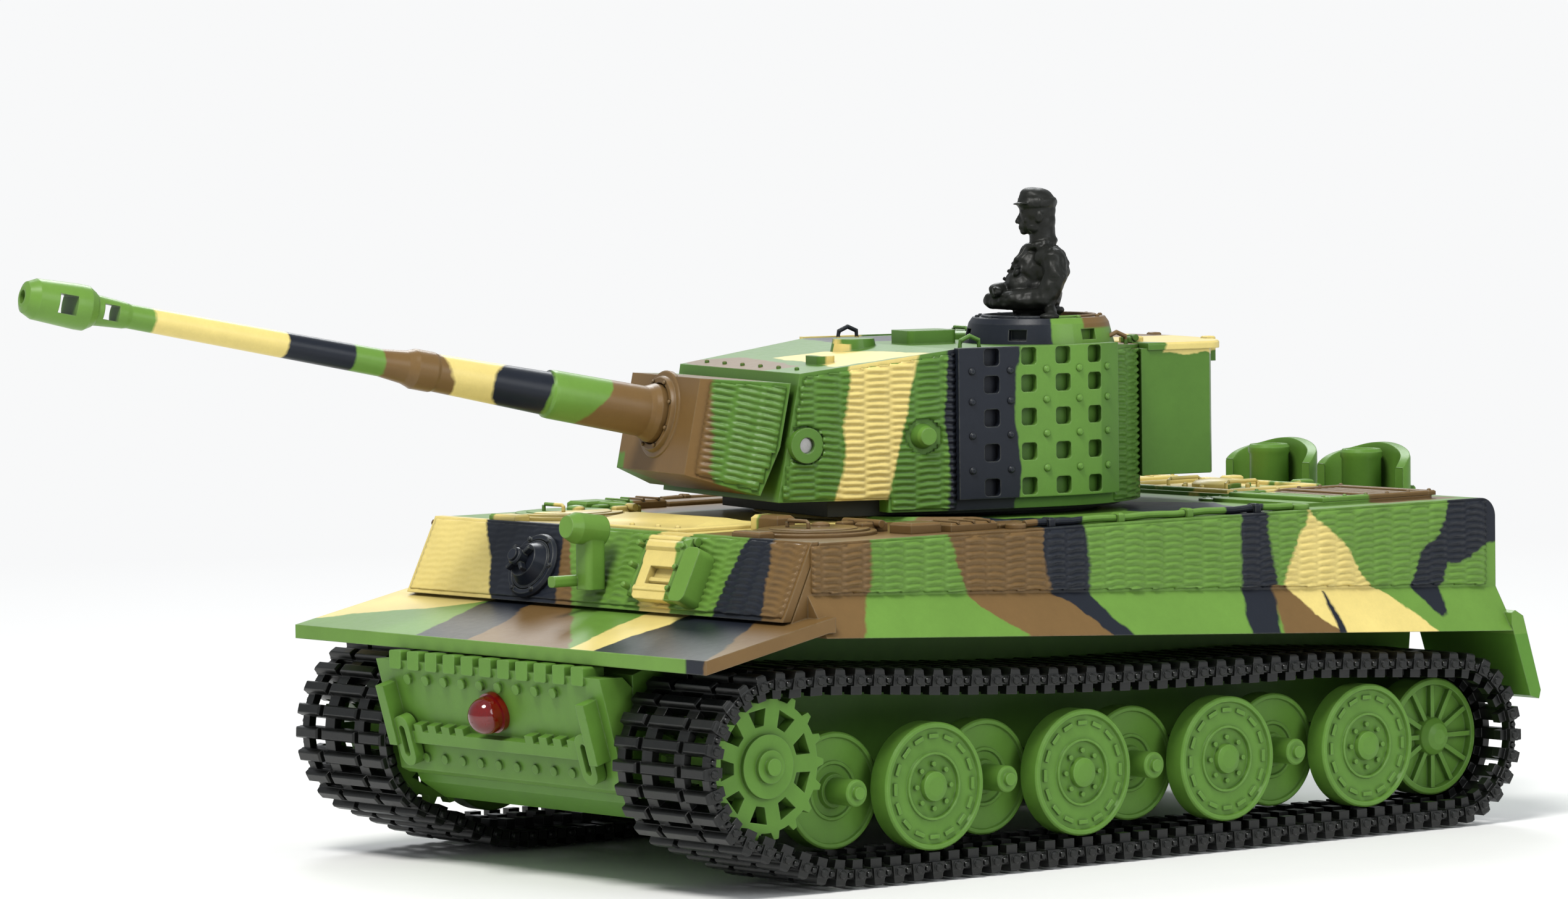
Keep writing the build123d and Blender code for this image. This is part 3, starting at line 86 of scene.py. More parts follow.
# ---------------------------------------------------------------- shader helpers
class Shader:
    """A material being built. Methods add nodes and return output sockets."""

    def __init__(self, name, space="frame"):
        self.mat = bpy.data.materials.new(name)
        self.mat.use_nodes = True
        self.tree = self.mat.node_tree
        self.tree.nodes.clear()
        self.place = self.coords(space)

    def put(self, socket, value):
        """Link a socket, or set a value with its missing channels at 1."""
        if isinstance(value, bpy.types.NodeSocket):
            self.tree.links.new(value, socket)
        elif isinstance(value, (tuple, list)):
            size = len(socket.default_value)
            value = tuple(value)[:size]
            socket.default_value = value + (1.0,) * (size - len(value))
        else:
            socket.default_value = value

    def node(self, kind, inputs=None, **props):
        node = self.tree.nodes.new("ShaderNode" + kind)
        for key, value in props.items():
            setattr(node, key, value)
        for key, value in (inputs or {}).items():
            self.put(node.inputs[key], value)
        return node

    def math(self, op, a, b=0.0, c=0.0, clamp=False):
        inputs = {0: a, 1: b, 2: c}
        return self.node("Math", inputs, operation=op, use_clamp=clamp).outputs[0]

    def ramp(self, value, gain, offset):
        return self.math("MULTIPLY_ADD", value, gain, offset, clamp=True)

    def step(self, value, edge, soft):
        """Rises from 0 to 1 over a width of soft, centred on edge."""
        return self.ramp(value, 1 / soft, 0.5 - edge / soft)

    def above(self, value, limit):
        return self.math("GREATER_THAN", value, limit)

    def below(self, value, limit):
        return self.math("LESS_THAN", value, limit)

    def inverse(self, mask):
        return self.math("SUBTRACT", 1.0, mask)

    def product(self, first, *others):
        for other in others:
            first = self.math("MULTIPLY", first, other)
        return first

    def vec(self, op, a, b, c=(0, 0, 0)):
        inputs = {0: a, 1: b}
        if op == "MULTIPLY_ADD":
            inputs[2] = c
        node = self.node("VectorMath", inputs, operation=op)
        return node.outputs["Value" if op == "DOT_PRODUCT" else "Vector"]

    def split(self, place):
        return tuple(self.node("SeparateXYZ", {0: place}).outputs)

    def combine(self, x, y, z):
        return self.node("CombineXYZ", {0: x, 1: y, 2: z}).outputs[0]

    def mirrored(self, place):
        """The place with x made positive."""
        x, y, z = self.split(place)
        return self.combine(self.math("ABSOLUTE", x), y, z)

    def mix(self, factor, a, b, blend="MIX"):
        inputs = {0: factor, 6: a, 7: b}
        return self.node("Mix", inputs, data_type="RGBA", blend_type=blend).outputs[2]

    def shade(self, colour, value):
        grey = self.node("CombineColor", {0: value, 1: value, 2: value}).outputs[0]
        return self.mix(1.0, colour, grey, "MULTIPLY")

    def noise(self, scale, detail=2.0, rough=0.5, output=0):
        inputs = {"Vector": self.place, "Scale": scale, "Detail": detail, "Roughness": rough}
        return self.node("TexNoise", inputs).outputs[output]

    def coords(self, space):
        """Position in mm in the frame, or from the hull's, turret's or gun's own origin."""
        metres = self.node("TexCoord").outputs["Object"]
        to_mm = (1000, 1000, 1000)
        if space == "frame":
            return self.vec("MULTIPLY", metres, to_mm)
        if space == "hull":
            return self.vec("MULTIPLY_ADD", metres, to_mm, (0, -HULL_Y, 0))

        def rotate(place, degrees, axis):
            inputs = {"Vector": place, "Angle": math.radians(degrees)}
            return self.node("VectorRotate", inputs, rotation_type=axis).outputs[0]

        place = self.vec("MULTIPLY_ADD", metres, to_mm, (0, -TURRET_Y, 0))
        place = rotate(place, -YAW, "Z_AXIS")
        if space == "gun":
            place = self.vec("ADD", place, tuple(-v for v in GUN_PIVOT))
            place = rotate(place, GUN_UP, "X_AXIS")
        return place

    def wobble(self, amount=0.35):
        """The place, displaced by fine and broad noise so that borders waver."""
        moved = self.place
        for scale, detail, rough, reach in ((0.45, 3.0, 0.6, 3), (0.13, 1.0, 0.5, 7)):
            drift = self.noise(scale, detail, rough, "Color")
            drift = self.vec("SUBTRACT", drift, (0.5, 0.5, 0.5))
            moved = self.vec("MULTIPLY_ADD", drift, (amount * reach,) * 3, moved)
        return moved

    def beyond(self, place, normal, edge, soft=0.22):
        """1 where normal . place is over edge, with a soft sprayed border."""
        length = math.sqrt(sum(v * v for v in normal))
        distance = self.vec("DOT_PRODUCT", place, tuple(v / length for v in normal))
        return self.step(distance, edge / length, soft)

    def polygon(self, place, points, axes=(0, 1)):
        """Mask of a convex polygon given in two of the three coordinates."""
        centre_a = sum(p[0] for p in points) / len(points)
        centre_b = sum(p[1] for p in points) / len(points)
        masks = []
        for p, q in zip(points, points[1:] + points[:1]):
            a, b = q[1] - p[1], p[0] - q[0]
            edge = a * p[0] + b * p[1]
            if a * centre_a + b * centre_b < edge:
                a, b, edge = -a, -b, -edge
            normal = [0.0, 0.0, 0.0]
            normal[axes[0]], normal[axes[1]] = a, b
            masks.append(self.beyond(place, normal, edge, soft=0.25))
        return self.product(*masks)

    def paint(self, colour, layers):
        """Lay (mask, paint) layers over a colour."""
        for mask, paint in layers:
            colour = self.mix(mask, colour, paint)
        return colour

    def patches(self, place, colour, table, axes=(0, 1)):
        """Lay (paint, outline) patches over a colour."""
        layers = ((self.polygon(place, outline, axes), paint) for paint, outline in table)
        return self.paint(colour, layers)

    def surface(self, colour, rough=0.36, spread=0.14, bump=0.35, grain=5.0, wear=0.28,
                wear_to=None, cavity=0.55, bevel=0.14, metallic=0.0, coat=0.0, specular=0.24,
                tint=0.13, speck=0.0):
        """Moulded surface. tint is the mottling, the occlusion weight the painted shade in
        corners and recesses, bevel (mm) the width of edges lightened towards their edge colour
        (partly worn paint, partly a painted highlight), speck the pale dots, spread the range
        of roughness, and grain the scale of the fine texture."""
        big = self.noise(0.22, 3.0, 0.55)
        mid = self.noise(1.4, 4.0, 0.65)
        fine = self.noise(grain, 3.0, 0.7)
        mottle = [self.math("MULTIPLY_ADD", layer, tint * share, 1 - tint * share / 2)
                  for layer, share in ((big, 2), (mid, 1), (fine, 0.8))]
        colour = self.shade(colour, self.product(*mottle))
        relief = {"Strength": bump, "Distance": 0.03 * MM}
        # edges are lightened: partly worn paint, partly a painted highlight where edges catch the
        # light
        if bevel:
            normal = self.node("NewGeometry").outputs["Normal"]
            rounded = self.node("Bevel", {"Radius": bevel * MM}, samples=4).outputs[0]
            edge = self.ramp(self.vec("DOT_PRODUCT", rounded, normal), gain=-7.0, offset=7.0)
            edge = self.math("MULTIPLY", edge, self.ramp(mid, gain=2.4, offset=-0.55))
            worn_and_lit = wear_to or self.mix(0.45, colour, (0.75, 0.78, 0.62))
            colour = self.mix(self.math("MULTIPLY", edge, wear), colour, worn_and_lit)
            relief["Normal"] = rounded
        # painted shade: ambient occlusion darkens the colour in corners and recesses
        if cavity:
            occlusion = self.node("AmbientOcclusion", {"Distance": 1.1 * MM}, samples=4)
            open_air = occlusion.outputs["AO"]
            colour = self.shade(colour, self.math("MULTIPLY_ADD", open_air, cavity, 1 - cavity))
        if speck:
            dots = self.ramp(self.noise(2.6, 5.0, 0.8), gain=22.0, offset=-15.4)
            colour = self.mix(self.math("MULTIPLY", dots, speck), colour, (0.62, 0.6, 0.5))
        roughness = self.math("MULTIPLY_ADD", mid, spread, rough - spread / 2)
        relief["Height"] = self.math("ADD", self.math("MULTIPLY", fine, 0.6),
                                     self.math("MULTIPLY", mid, 0.4))
        return self.node("BsdfPrincipled", {
            "Base Color": colour, "Roughness": roughness, "Metallic": metallic,
            "Normal": self.node("Bump", relief).outputs[0], "Specular IOR Level": specular,
            "Coat Weight": coat, "Coat Roughness": 0.2}).outputs[0]

    def output(self, shader):
        self.node("OutputMaterial", {0: shader})
        return self.mat

    def finish(self, colour, **look):
        return self.output(self.surface(colour, **look))


# ---------------------------------------------------------------- camouflage
GREEN = (0.130, 0.262, 0.043)
GREEN_DEEP = (0.092, 0.225, 0.028)
TURRET_GREEN = (0.088, 0.200, 0.030)
PANEL_GREEN = (0.118, 0.252, 0.040)
BIN_GREEN = (0.080, 0.182, 0.026)
YELLOW = (0.72, 0.58, 0.20)
BROWN = (0.165, 0.096, 0.034)
NAVY = (0.012, 0.015, 0.023)
SIDE_VIEW = (1, 2)                  # outlines given as (y, z)

# front border of each band on the hull's side: y at the deck, crease and skirt's edge
SIDE_BANDS = [
    (GREEN, (-26.3, -27.0, -29.3)), (BROWN, (-17.9, -16.4, -12.0)),
    (NAVY, (-8.3, -7.5, -2.9)), (GREEN, (-3.9, -3.6, -1.2)),
    (NAVY, (13.3, 12.8, 11.9)), (GREEN, (16.2, 16.3, 15.0))]
# front border, rear border, and how far below the crease the wedge starts
SIDE_WEDGES = [
    (YELLOW, (20.4, 16.9, 16.4), (20.6, 26.9, 32.3), None),
    (BROWN, (10.0, 15.8, 15.4), (11.0, 16.9, 21.6), 0.02),
    (NAVY, (10.0, 21.1, 21.0), (10.0, 21.3, 22.1), 0.05)]
SIDE_PATCHES = [
    (NAVY, [(31.2, 19.9), (32.6, 23.3), (36.6, 24.2), (35.4, 20.5), (34.9, 18.0), (33.7, 17.3)]),
    (NAVY, [(33.6, 22.6), (36.2, 27.2), (48, 27.2), (48, 22.6), (37.0, 21.6), (34.6, 21.2)])]
# outlines in the hull's x, y
DECK_PATCHES = [
    (YELLOW, [(-17, -33), (8.6, -33), (8.2, -12), (-12, -10)]),
    (GREEN, [(-25, -33), (-17.5, -33), (-14, -18), (-25, -12)]),
    (BROWN, [(8.8, -33), (25, -33), (25, -8.0), (11.5, -6.0), (8.4, -14)]),
    (NAVY, [(13, -6.4), (25, -8.2), (25, -3.6), (14, -1)]),
    (BROWN, [(-25, -12), (-14, -18), (-13, -4), (-25, 2)]),
    (YELLOW, [(-25, 4), (-13, -2), (-13, 8), (-25, 12)]),
    (NAVY, [(5, 17), (14, 9.5), (25, 12.5), (25, 16), (12, 21)]),
    (YELLOW, [(-15, 27), (2.5, 27), (1, 39), (-13, 42)]),
    (YELLOW, [(3, 26), (12, 28), (10, 37), (2, 37)]),
    (BROWN, [(11, 28), (23, 30), (22, 39), (8, 38)]),
    (BROWN, [(-25, 16), (-12, 19), (-16, 29), (-25, 31)]),
    (NAVY, [(-25, 34), (-17, 33), (-15, 42), (-25, 42)])]
# borders on the sloping front, as (x, y) at its lower and upper edge
GLACIS_BANDS = [
    (NAVY, (-11.3, -43.5), (-12.9, -35.5)), (BROWN, (-4.1, -44.2), (-7.5, -35.6)),
    (GREEN, (8.4, -44.3), (-2.4, -35.1)), (YELLOW, (9.1, -44.2), (7.2, -36.5)),
    (NAVY, (12.7, -44.5), (11.7, -36.1)), (BROWN, (25.9, -44.3), (20.3, -34.4))]
# borders on the driver's plate, as x at its top and bottom
PLATE_BANDS = [
    (NAVY, -17.4, -12.4), (BROWN, -6.3, -4.9), (GREEN, -5.7, -3.0), (YELLOW, 5.4, 6.3),
    (GREEN, 9.5, 10.0), (NAVY, 17.0, 15.0), (BROWN, 19.6, 21.4)]
# outlines in the turret's y, z
TURRET_WALLS = [
    ("left", YELLOW, [(-17.6, 40.6), (-11.7, 40.6), (-15.1, 28.0), (-18.8, 28.0), (-18.8, 29.0)]),
    ("right", BROWN, [(-20, 41), (-14.5, 41), (-12.5, 27), (-17, 27)]),
    ("right", YELLOW, [(-9.4, 42), (-4.0, 42), (-2.0, 27), (-7.5, 27)]),
    ("right", NAVY, [(3.0, 42), (8.4, 42), (6.5, 27), (4.5, 27)])]
# outlines in the turret's x, y
ROOF_PATCHES = [
    (YELLOW, [(-3.5, -17.0), (10.6, -18.4), (13.0, -11.0), (8.5, -11.4), (-1.0, -12.8)]),
    (BROWN, [(-13, -21.5), (4, -22.5), (5.4, -19.3), (-8, -17.5)]),
    (NAVY, [(-13, -9), (-4, -10), (-3, -1), (-12, 3)]),
    (YELLOW, [(-11, 5), (-2, 3), (0, 12), (-7, 13)]),
    (BROWN, [(2, 8), (11, 6), (8, 13), (1, 14)])]


def side_paint(s, wavy):
    """Hull side. The whole pattern lies 4.5 mm further forward on the right."""
    x, y, z = s.split(wavy)
    shift = s.math("MULTIPLY_ADD", s.above(x, 0.0), -4.5, 4.5)
    shifted = s.math("ADD", y, shift)
    crease = s.math("MULTIPLY_ADD", y, -0.0459, 21.2)
    over_crease = s.math("DIVIDE", s.math("SUBTRACT", DECK_Z, z),
                         s.math("SUBTRACT", DECK_Z, crease), clamp=True)
    under_crease = s.math("DIVIDE", s.math("SUBTRACT", crease, z), 3.4, clamp=True)
    folded = s.combine(shifted, over_crease, under_crease)

    def behind(border):
        top, middle, bottom = border
        normal = (1, -(middle - top), -(bottom - middle))
        return s.step(s.vec("DOT_PRODUCT", folded, normal), top, soft=0.3)

    colour = s.paint(BROWN, [(behind(border), paint) for paint, border in SIDE_BANDS])
    for paint, front, rear, start in SIDE_WEDGES:
        masks = [behind(front), s.inverse(behind(rear))]
        if start:
            masks.append(s.above(under_crease, start))
        colour = s.mix(s.product(*masks), colour, paint)
    return s.patches(s.combine(x, shifted, z), colour, SIDE_PATCHES, SIDE_VIEW)


def glacis_paint(s, wavy):
    colour = s.mix(s.beyond(wavy, (0.531, -0.847, 0), 22.65, soft=0.3), YELLOW, GREEN)
    for paint, low, high in GLACIS_BANDS:
        a, b = high[1] - low[1], low[0] - high[0]
        mask = s.beyond(wavy, (a, b, 0), a * low[0] + b * low[1], soft=0.25)
        colour = s.mix(mask, colour, paint)
    return colour


def hull_camo():
    s = Shader("hull_camouflage", "hull")
    wavy = s.wobble()
    x, _, z = s.split(s.place)
    off_centre = s.math("ABSOLUTE", x)
    on_deck = s.product(s.above(z, 26.55), s.below(off_centre, 23.9))
    on_glacis = s.product(s.beyond(s.place, FRONT, 32.7, soft=0.1), s.below(z, 21.6))
    on_lip = s.product(s.beyond(s.place, FRONT, 44.72, soft=0.06), s.below(z, 18.6),
                       s.beyond(s.place, RIGHT, -24.0, soft=0.3))
    colour = s.paint(side_paint(s, wavy), [
        (on_deck, s.patches(wavy, GREEN, DECK_PATCHES)),
        (on_glacis, glacis_paint(s, wavy)),
        (on_lip, GREEN),
        (s.below(z, 15.4), GREEN_DEEP)])
    return s.finish(colour, speck=0.12)


def plate_camo():
    """Driver's plate and the fittings on it."""
    s = Shader("plate_camouflage", "hull")
    wavy = s.wobble(0.25)
    top_z, height = 27.0, 6.0
    colour = YELLOW
    for paint, top, bottom in PLATE_BANDS:
        lean = bottom - top
        mask = s.beyond(wavy, (height, 0, lean), height * top + lean * top_z, soft=0.25)
        colour = s.mix(mask, colour, paint)
    return s.finish(colour, speck=0.12)


def turret_camo():
    s = Shader("turret_camouflage", "turret")
    wavy = s.wobble(0.3)
    left = s.above(s.split(s.place)[0], 0.0)
    on_side = {"left": left, "right": s.inverse(left)}
    colour = s.mix(s.beyond(s.place, LEFT, 13.55, soft=0.05), TURRET_GREEN, PANEL_GREEN)
    colour = s.paint(colour, [
        (s.product(s.polygon(wavy, outline, SIDE_VIEW), on_side[side]), paint)
        for side, paint, outline in TURRET_WALLS])
    link_panel = s.product(s.beyond(wavy, FRONT, 3.8, soft=0.2),
                           s.beyond(wavy, REAR, -9.6, soft=0.2),
                           s.beyond(s.place, LEFT, 13.0, soft=0.1))
    colour = s.mix(link_panel, colour, NAVY)
    normal = s.node("NewGeometry").outputs["Normal"]
    outside = s.beyond(s.mirrored(s.place), LEFT, 13.42, soft=0.05)
    roof = s.product(s.beyond(normal, UP, 0.75, soft=0.1),
                     s.beyond(s.place, UP, 38.3, soft=0.1), s.inverse(outside))
    # anything standing on the roof takes the roof's paint on its sides too
    roof = s.math("MAXIMUM", roof, s.beyond(s.place, UP, 40.52, soft=0.05))
    colour = s.mix(roof, colour, s.patches(wavy, TURRET_GREEN, ROOF_PATCHES))
    return s.finish(colour, speck=0.12)


def cupola_camo():
    s = Shader("cupola_camouflage", "turret")
    wavy = s.wobble(0.3)
    rear_top = s.product(s.beyond(wavy, (0.2, 1, 0), 6.6, soft=0.2),
                         s.beyond(s.place, UP, 41.6, soft=0.2))
    colour = s.paint(NAVY, [(s.beyond(wavy, (0.25, 1, 0), 4.2, soft=0.2), GREEN),
                            (rear_top, BROWN)])
    return s.finish(colour, speck=0.1)


def bin_camo():
    s = Shader("bin_camouflage", "turret")
    wavy = s.wobble()
    top = s.product(s.beyond(wavy, UP, 39.35, soft=0.12),
                    s.beyond(wavy, (-0.45, 1, 0), 8.6, soft=0.2))
    right = s.product(s.beyond(wavy, RIGHT, 2.5, soft=0.2),
                      s.beyond(wavy, (0.4, 0, 1), 32.0, soft=0.2))
    return s.finish(s.paint(BIN_GREEN, [(top, YELLOW), (right, BROWN)]), speck=0.1)


def mantlet_camo():
    s = Shader("mantlet_camouflage", "gun")
    wavy = s.wobble(0.25)
    cheeks = s.beyond(s.mirrored(wavy), (1, 0, 0.06), 7.45, soft=0.3)
    low_right = s.product(s.beyond(wavy, DOWN, 3.3, soft=0.3),
                          s.beyond(wavy, RIGHT, 5.2, soft=0.3))
    colour = s.paint(BROWN, [(cheeks, TURRET_GREEN), (low_right, TURRET_GREEN)])
    return s.finish(colour, speck=0.1)


def barrel_camo():
    """Bands along the barrel, placed by their distance ahead of the gun's pivot."""
    s = Shader("barrel_camouflage", "gun")
    _, y, z = s.split(s.wobble(0.3))
    forward = s.math("MULTIPLY", y, -1.0)

    def past(place, slope=0.0):
        return s.step(s.math("MULTIPLY_ADD", z, slope, forward), place, soft=0.25)

    bowed = s.math("MULTIPLY_ADD", s.math("MULTIPLY", z, z), 0.55, forward)
    colour = s.paint(BROWN, [
        (past(5.9, slope=-0.8), BROWN), (past(13.7, slope=0.55), GREEN), (past(18.1), NAVY),
        (s.step(bowed, 23.3, soft=1 / 3), YELLOW), (past(27.2, slope=-0.4), BROWN),
        (past(32.6), GREEN), (past(35.2), NAVY), (past(41.5), YELLOW), (past(52.6), GREEN)])
    return s.finish(colour, speck=0.08, rough=0.34)


# ---------------------------------------------------------------- other materials
def moulded_green(name, deep):
    """deep goes from 0, the camouflage's green, to 1, its darker green."""
    s = Shader(name)
    green = tuple(a * (1 - deep) + b * deep for a, b in zip(GREEN, GREEN_DEEP))
    colour = s.mix(s.noise(0.5, 4.0, 0.6), green, tuple(v * 0.88 for v in green))
    return s.finish(colour, spread=0.12, rough=0.38, wear=0.35, wear_to=(0.34, 0.52, 0.22),
                    speck=0.05)


def rubber():
    s = Shader("track_rubber", "hull")
    dust = s.ramp(s.noise(0.8, 4.0, 0.7), gain=4.0, offset=-1.9)
    colour = s.mix(s.math("MULTIPLY", dust, 0.35), (0.0042, 0.0048, 0.0044),
                   (0.014, 0.0145, 0.011))
    return s.finish(colour, rough=0.32, spread=0.2, bump=0.4, grain=3.5, wear=0.3,
                    wear_to=(0.07, 0.075, 0.075), cavity=0.7, bevel=0.1, specular=0.42)


def figure_dark():
    s = Shader("figure_dark")
    colour = s.mix(s.noise(0.9, 4.0), (0.0075, 0.0085, 0.0072), (0.0135, 0.014, 0.0115))
    return s.finish(colour, rough=0.44, spread=0.2, bump=0.55, grain=6.0, cavity=0.6, bevel=0.0)


def red_lens():
    s = Shader("lamp_red")
    cloud = s.noise(2.0, 3.0)
    colour = s.mix(cloud, (0.26, 0.002, 0.003), (0.12, 0.001, 0.002))
    facing = s.node("LayerWeight", {"Blend": 0.35}).outputs["Facing"]
    relief = {"Strength": 0.15, "Distance": 0.02 * MM, "Height": s.noise(4.0)}
    return s.output(s.node("BsdfPrincipled", {
        "Base Color": s.mix(facing, colour, (0.03, 0.0006, 0.001)),
        "Roughness": s.math("MULTIPLY_ADD", cloud, 0.1, 0.05), "IOR": 1.5,
        "Transmission Weight": 0.35, "Coat Weight": 0.6, "Coat Roughness": 0.04,
        "Emission Color": (0.5, 0.004, 0.004), "Emission Strength": 0.05,
        "Normal": s.node("Bump", relief).outputs[0]}).outputs[0])


def metal(name, colour):
    s = Shader(name)
    colour = s.mix(s.noise(1.6, 5.0, 0.7), colour, tuple(v * 0.62 for v in colour))
    return s.finish(colour, rough=0.3, spread=0.22, metallic=1.0, bump=0.3, wear=0.3,
                    wear_to=(0.9, 0.88, 0.82), cavity=0.4)


def battery_film():
    """Blue film with pale stripes across y."""
    s = Shader("battery_film")
    _, y, _ = s.split(s.place)
    stripe = s.above(s.math("FRACT", s.math("MULTIPLY", y, 0.16)), 0.86)
    return s.finish(s.mix(stripe, (0.02, 0.1, 0.3), (0.55, 0.57, 0.6)), rough=0.25, coat=0.3)


def board_green():
    s = Shader("board_green")
    cells = s.node("TexVoronoi", {"Vector": s.place, "Scale": 0.9}, distance="MANHATTAN")
    trace = s.ramp(cells.outputs["Distance"], gain=8.0, offset=-2.4)
    return s.finish(s.mix(trace, (0.01, 0.09, 0.035), (0.018, 0.15, 0.06)), rough=0.3)


# camouflage by part, then plain materials by their slot in the frame
MATS = {
    "hull": hull_camo(),
    "plate": plate_camo(),
    "turret": turret_camo(),
    "cupola": cupola_camo(),
    "bin": bin_camo(),
    "mantlet": mantlet_camo(),
    "barrel": barrel_camo(),
    "green_plastic": moulded_green("moulded_green", deep=0.5),
    "green_deep": moulded_green("moulded_green_deep", deep=0.9),
    "black_rubber": rubber(),
    "figure_plastic": figure_dark(),
    "red_lens": red_lens(),
    "steel": metal("bare_steel", (0.55, 0.54, 0.52)),
    "brass": metal("cut_brass", (0.75, 0.52, 0.2)),
    "acetal": Shader("white_acetal").finish((0.72, 0.71, 0.66), rough=0.33, tint=0.05),
    "dark_plastic": Shader("dark_moulded").finish(
        (0.022, 0.025, 0.022), rough=0.42, wear=0.4, wear_to=(0.12, 0.13, 0.12)),
    "battery_wrap": battery_film(),
    "circuit_board": board_green(),
}
BY_NODE = {"upper_hull": "hull", "driver_plate": "plate", "front_fittings": "plate",
           "turret_shell": "turret", "spare_link_panels": "turret", "cupola": "cupola",
           "stowage_bin": "bin", "mantlet": "mantlet", "gun_barrel": "barrel",
           "lower_hull": "green_deep"}
slots = {part["node"]: part["material_slot"] for part in frame["record"]["subparts"]}
for name, obj in frame["nodes"].items():
    obj.data.materials.clear()
    obj.data.materials.append(MATS[BY_NODE.get(name) or slots[name]])


def piece(name, verts, faces, mat, body, matrix, smooth=180):
    """A mesh given in mm, placed by matrix, riding on a body."""
    mesh = bpy.data.meshes.new(name)
    mesh.from_pydata([tuple((matrix @ Vector(v)) * MM) for v in verts], [], faces)
    mesh.materials.append(MATS[mat])
    mesh.polygons.foreach_set("use_smooth", [True] * len(mesh.polygons))
    mesh.set_sharp_from_angle(angle=math.radians(smooth))
    mesh.validate()
    obj = bpy.data.objects.new(name, mesh)
    bpy.context.scene.collection.objects.link(obj)
    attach(obj, body)
    return obj


def along(origin, axis):
    """Matrix whose z runs along axis, from origin."""
    return at(*origin) @ Vector(axis).to_track_quat("Z", "Y").to_matrix().to_4x4()


def span(centre, half):
    return centre - half, centre + half


def circle(radius, count, start=0.0):
    angles = [start + 2 * math.pi * i / count for i in range(count)]
    return [(radius * math.cos(a), radius * math.sin(a)) for a in angles]


def walls(count, levels, closed=False):
    """Quads between stacked loops of count points; closed joins the last to the first."""
    faces = []
    for low in range(levels if closed else levels - 1):
        a, b = low * count, (low + 1) % levels * count
        for i in range(count):
            j = (i + 1) % count
            faces.append((a + i, a + j, b + j, b + i))
    return faces


def caps(count, levels):
    """End faces of stacked loops."""
    top = (levels - 1) * count
    return [tuple(reversed(range(count))), tuple(range(top, top + count))]


def inside_out(quads, ends):
    """Walls and caps for loops that run the other way round."""
    return [(a, d, c, b) for a, b, c, d in quads] + [face[::-1] for face in ends]


class Build:
    """Collects solids, in mm, into one mesh."""

    def __init__(self):
        self.verts, self.faces = [], []

    def add(self, verts, faces, matrix=None):
        first = len(self.verts)
        self.verts += [tuple(matrix @ Vector(v)) for v in verts] if matrix else verts
        self.faces += [tuple(i + first for i in face) for face in faces]

    def box(self, x_span, y_span, z_span, chamfer=0.0, matrix=None):
        """Box with its top edges chamfered."""
        (x0, x1), (y0, y1), (z0, z1) = x_span, y_span, z_span
        levels = [(0, z0), (0, z1 - chamfer)]
        if chamfer:
            levels.append((chamfer, z1))
        verts = []
        for inset, z in levels:
            a, b, c, d = x0 + inset, x1 - inset, y0 + inset, y1 - inset
            verts += [(a, c, z), (b, c, z), (b, d, z), (a, d, z)]
        self.add(verts, caps(4, len(levels)) + walls(4, len(levels)), matrix)

    def lathe(self, profile, matrix, sides=24):
        """Profile of (radius, height) turned about z, closed at both ends."""
        verts = [(x, y, z) for radius, z in profile for x, y in circle(radius, sides)]
        self.add(verts, walls(sides, len(profile)) + caps(sides, len(profile)), matrix)

    def ring(self, x, y, z, inner, outer, height, sides=40):
        """Flat ring standing at z, its upper edges chamfered."""
        bevel = 0.08
        profile = [(inner, 0), (outer, 0), (outer, height - bevel), (outer - bevel, height),
                   (inner + bevel, height), (inner, height - bevel)]
        verts = [(x + a, y + b, z + h) for radius, h in profile
                 for a, b in circle(radius, sides)]
        self.add(verts, walls(sides, len(profile), closed=True))

    def tube(self, path, radius, sides=10):
        """Round bar along a path of points."""
        path = [Vector(p) for p in path]
        verts = []
        for k, point in enumerate(path):
            way = (path[min(k + 1, len(path) - 1)] - path[max(k - 1, 0)]).normalized()
            a = way.cross(Vector(UP if abs(way.z) < 0.9 else LEFT)).normalized()
            b = way.cross(a)
            verts += [tuple(point + a * x + b * y) for x, y in circle(radius, sides)]
        self.add(verts, inside_out(walls(sides, len(path)), caps(sides, len(path))))

    def handle(self, start, end, rise):
        """Grab handle bridging two points."""
        start, end, up = Vector(start), Vector(end), Vector((0, 0, rise))
        inset = (end - start) * 0.08
        self.tube([start, start + up * 0.8, start + up + inset, end + up - inset,
                   end + up * 0.8, end], 0.16, 8)

    def done(self, name, mat, body, matrix, smooth=35):
        return piece(name, self.verts, self.faces, mat, body, matrix, smooth)


# ---------------------------------------------------------------- ribbed paste on the armour
RIB = 0.55                          # height of a rib
COLUMN = 2.1                        # width of a column of ribs
PASTE_BASE = 0.05                   # thickness under the ribs
PASTE_SUNK = 0.12                   # depth of the border in the wall


def rib(u, v, seed, arch):
    """Relief between 0 and 1: short bowed ribs stacked in columns."""
    column = math.floor(u / COLUMN)
    across = u / COLUMN - column
    rand = random.Random(column * 31 + seed)
    w = v + (0.27 if column % 2 else 0.0) + rand.uniform(-0.1, 0.1)
    w += (across - 0.5) * rand.uniform(-0.2, 0.2)
    w -= (rand.uniform(0.7, 1.5) * arch) * 4 * across * (1 - across)
    w += 0.07 * noise.noise(Vector((u * 1.3, v * 0.9, seed)))
    height = math.sin(math.pi * ((w / RIB) % 1.0)) ** 1.1
    seam = min(across, 1 - across) * COLUMN
    height *= 0.12 + 0.88 * min(1.0, seam / 0.26)
    height *= 0.85 + 0.35 * noise.noise(Vector((u * 0.9 + 40, v * 1.9, seed * 3)))
    return max(0.0, min(1.0, height))


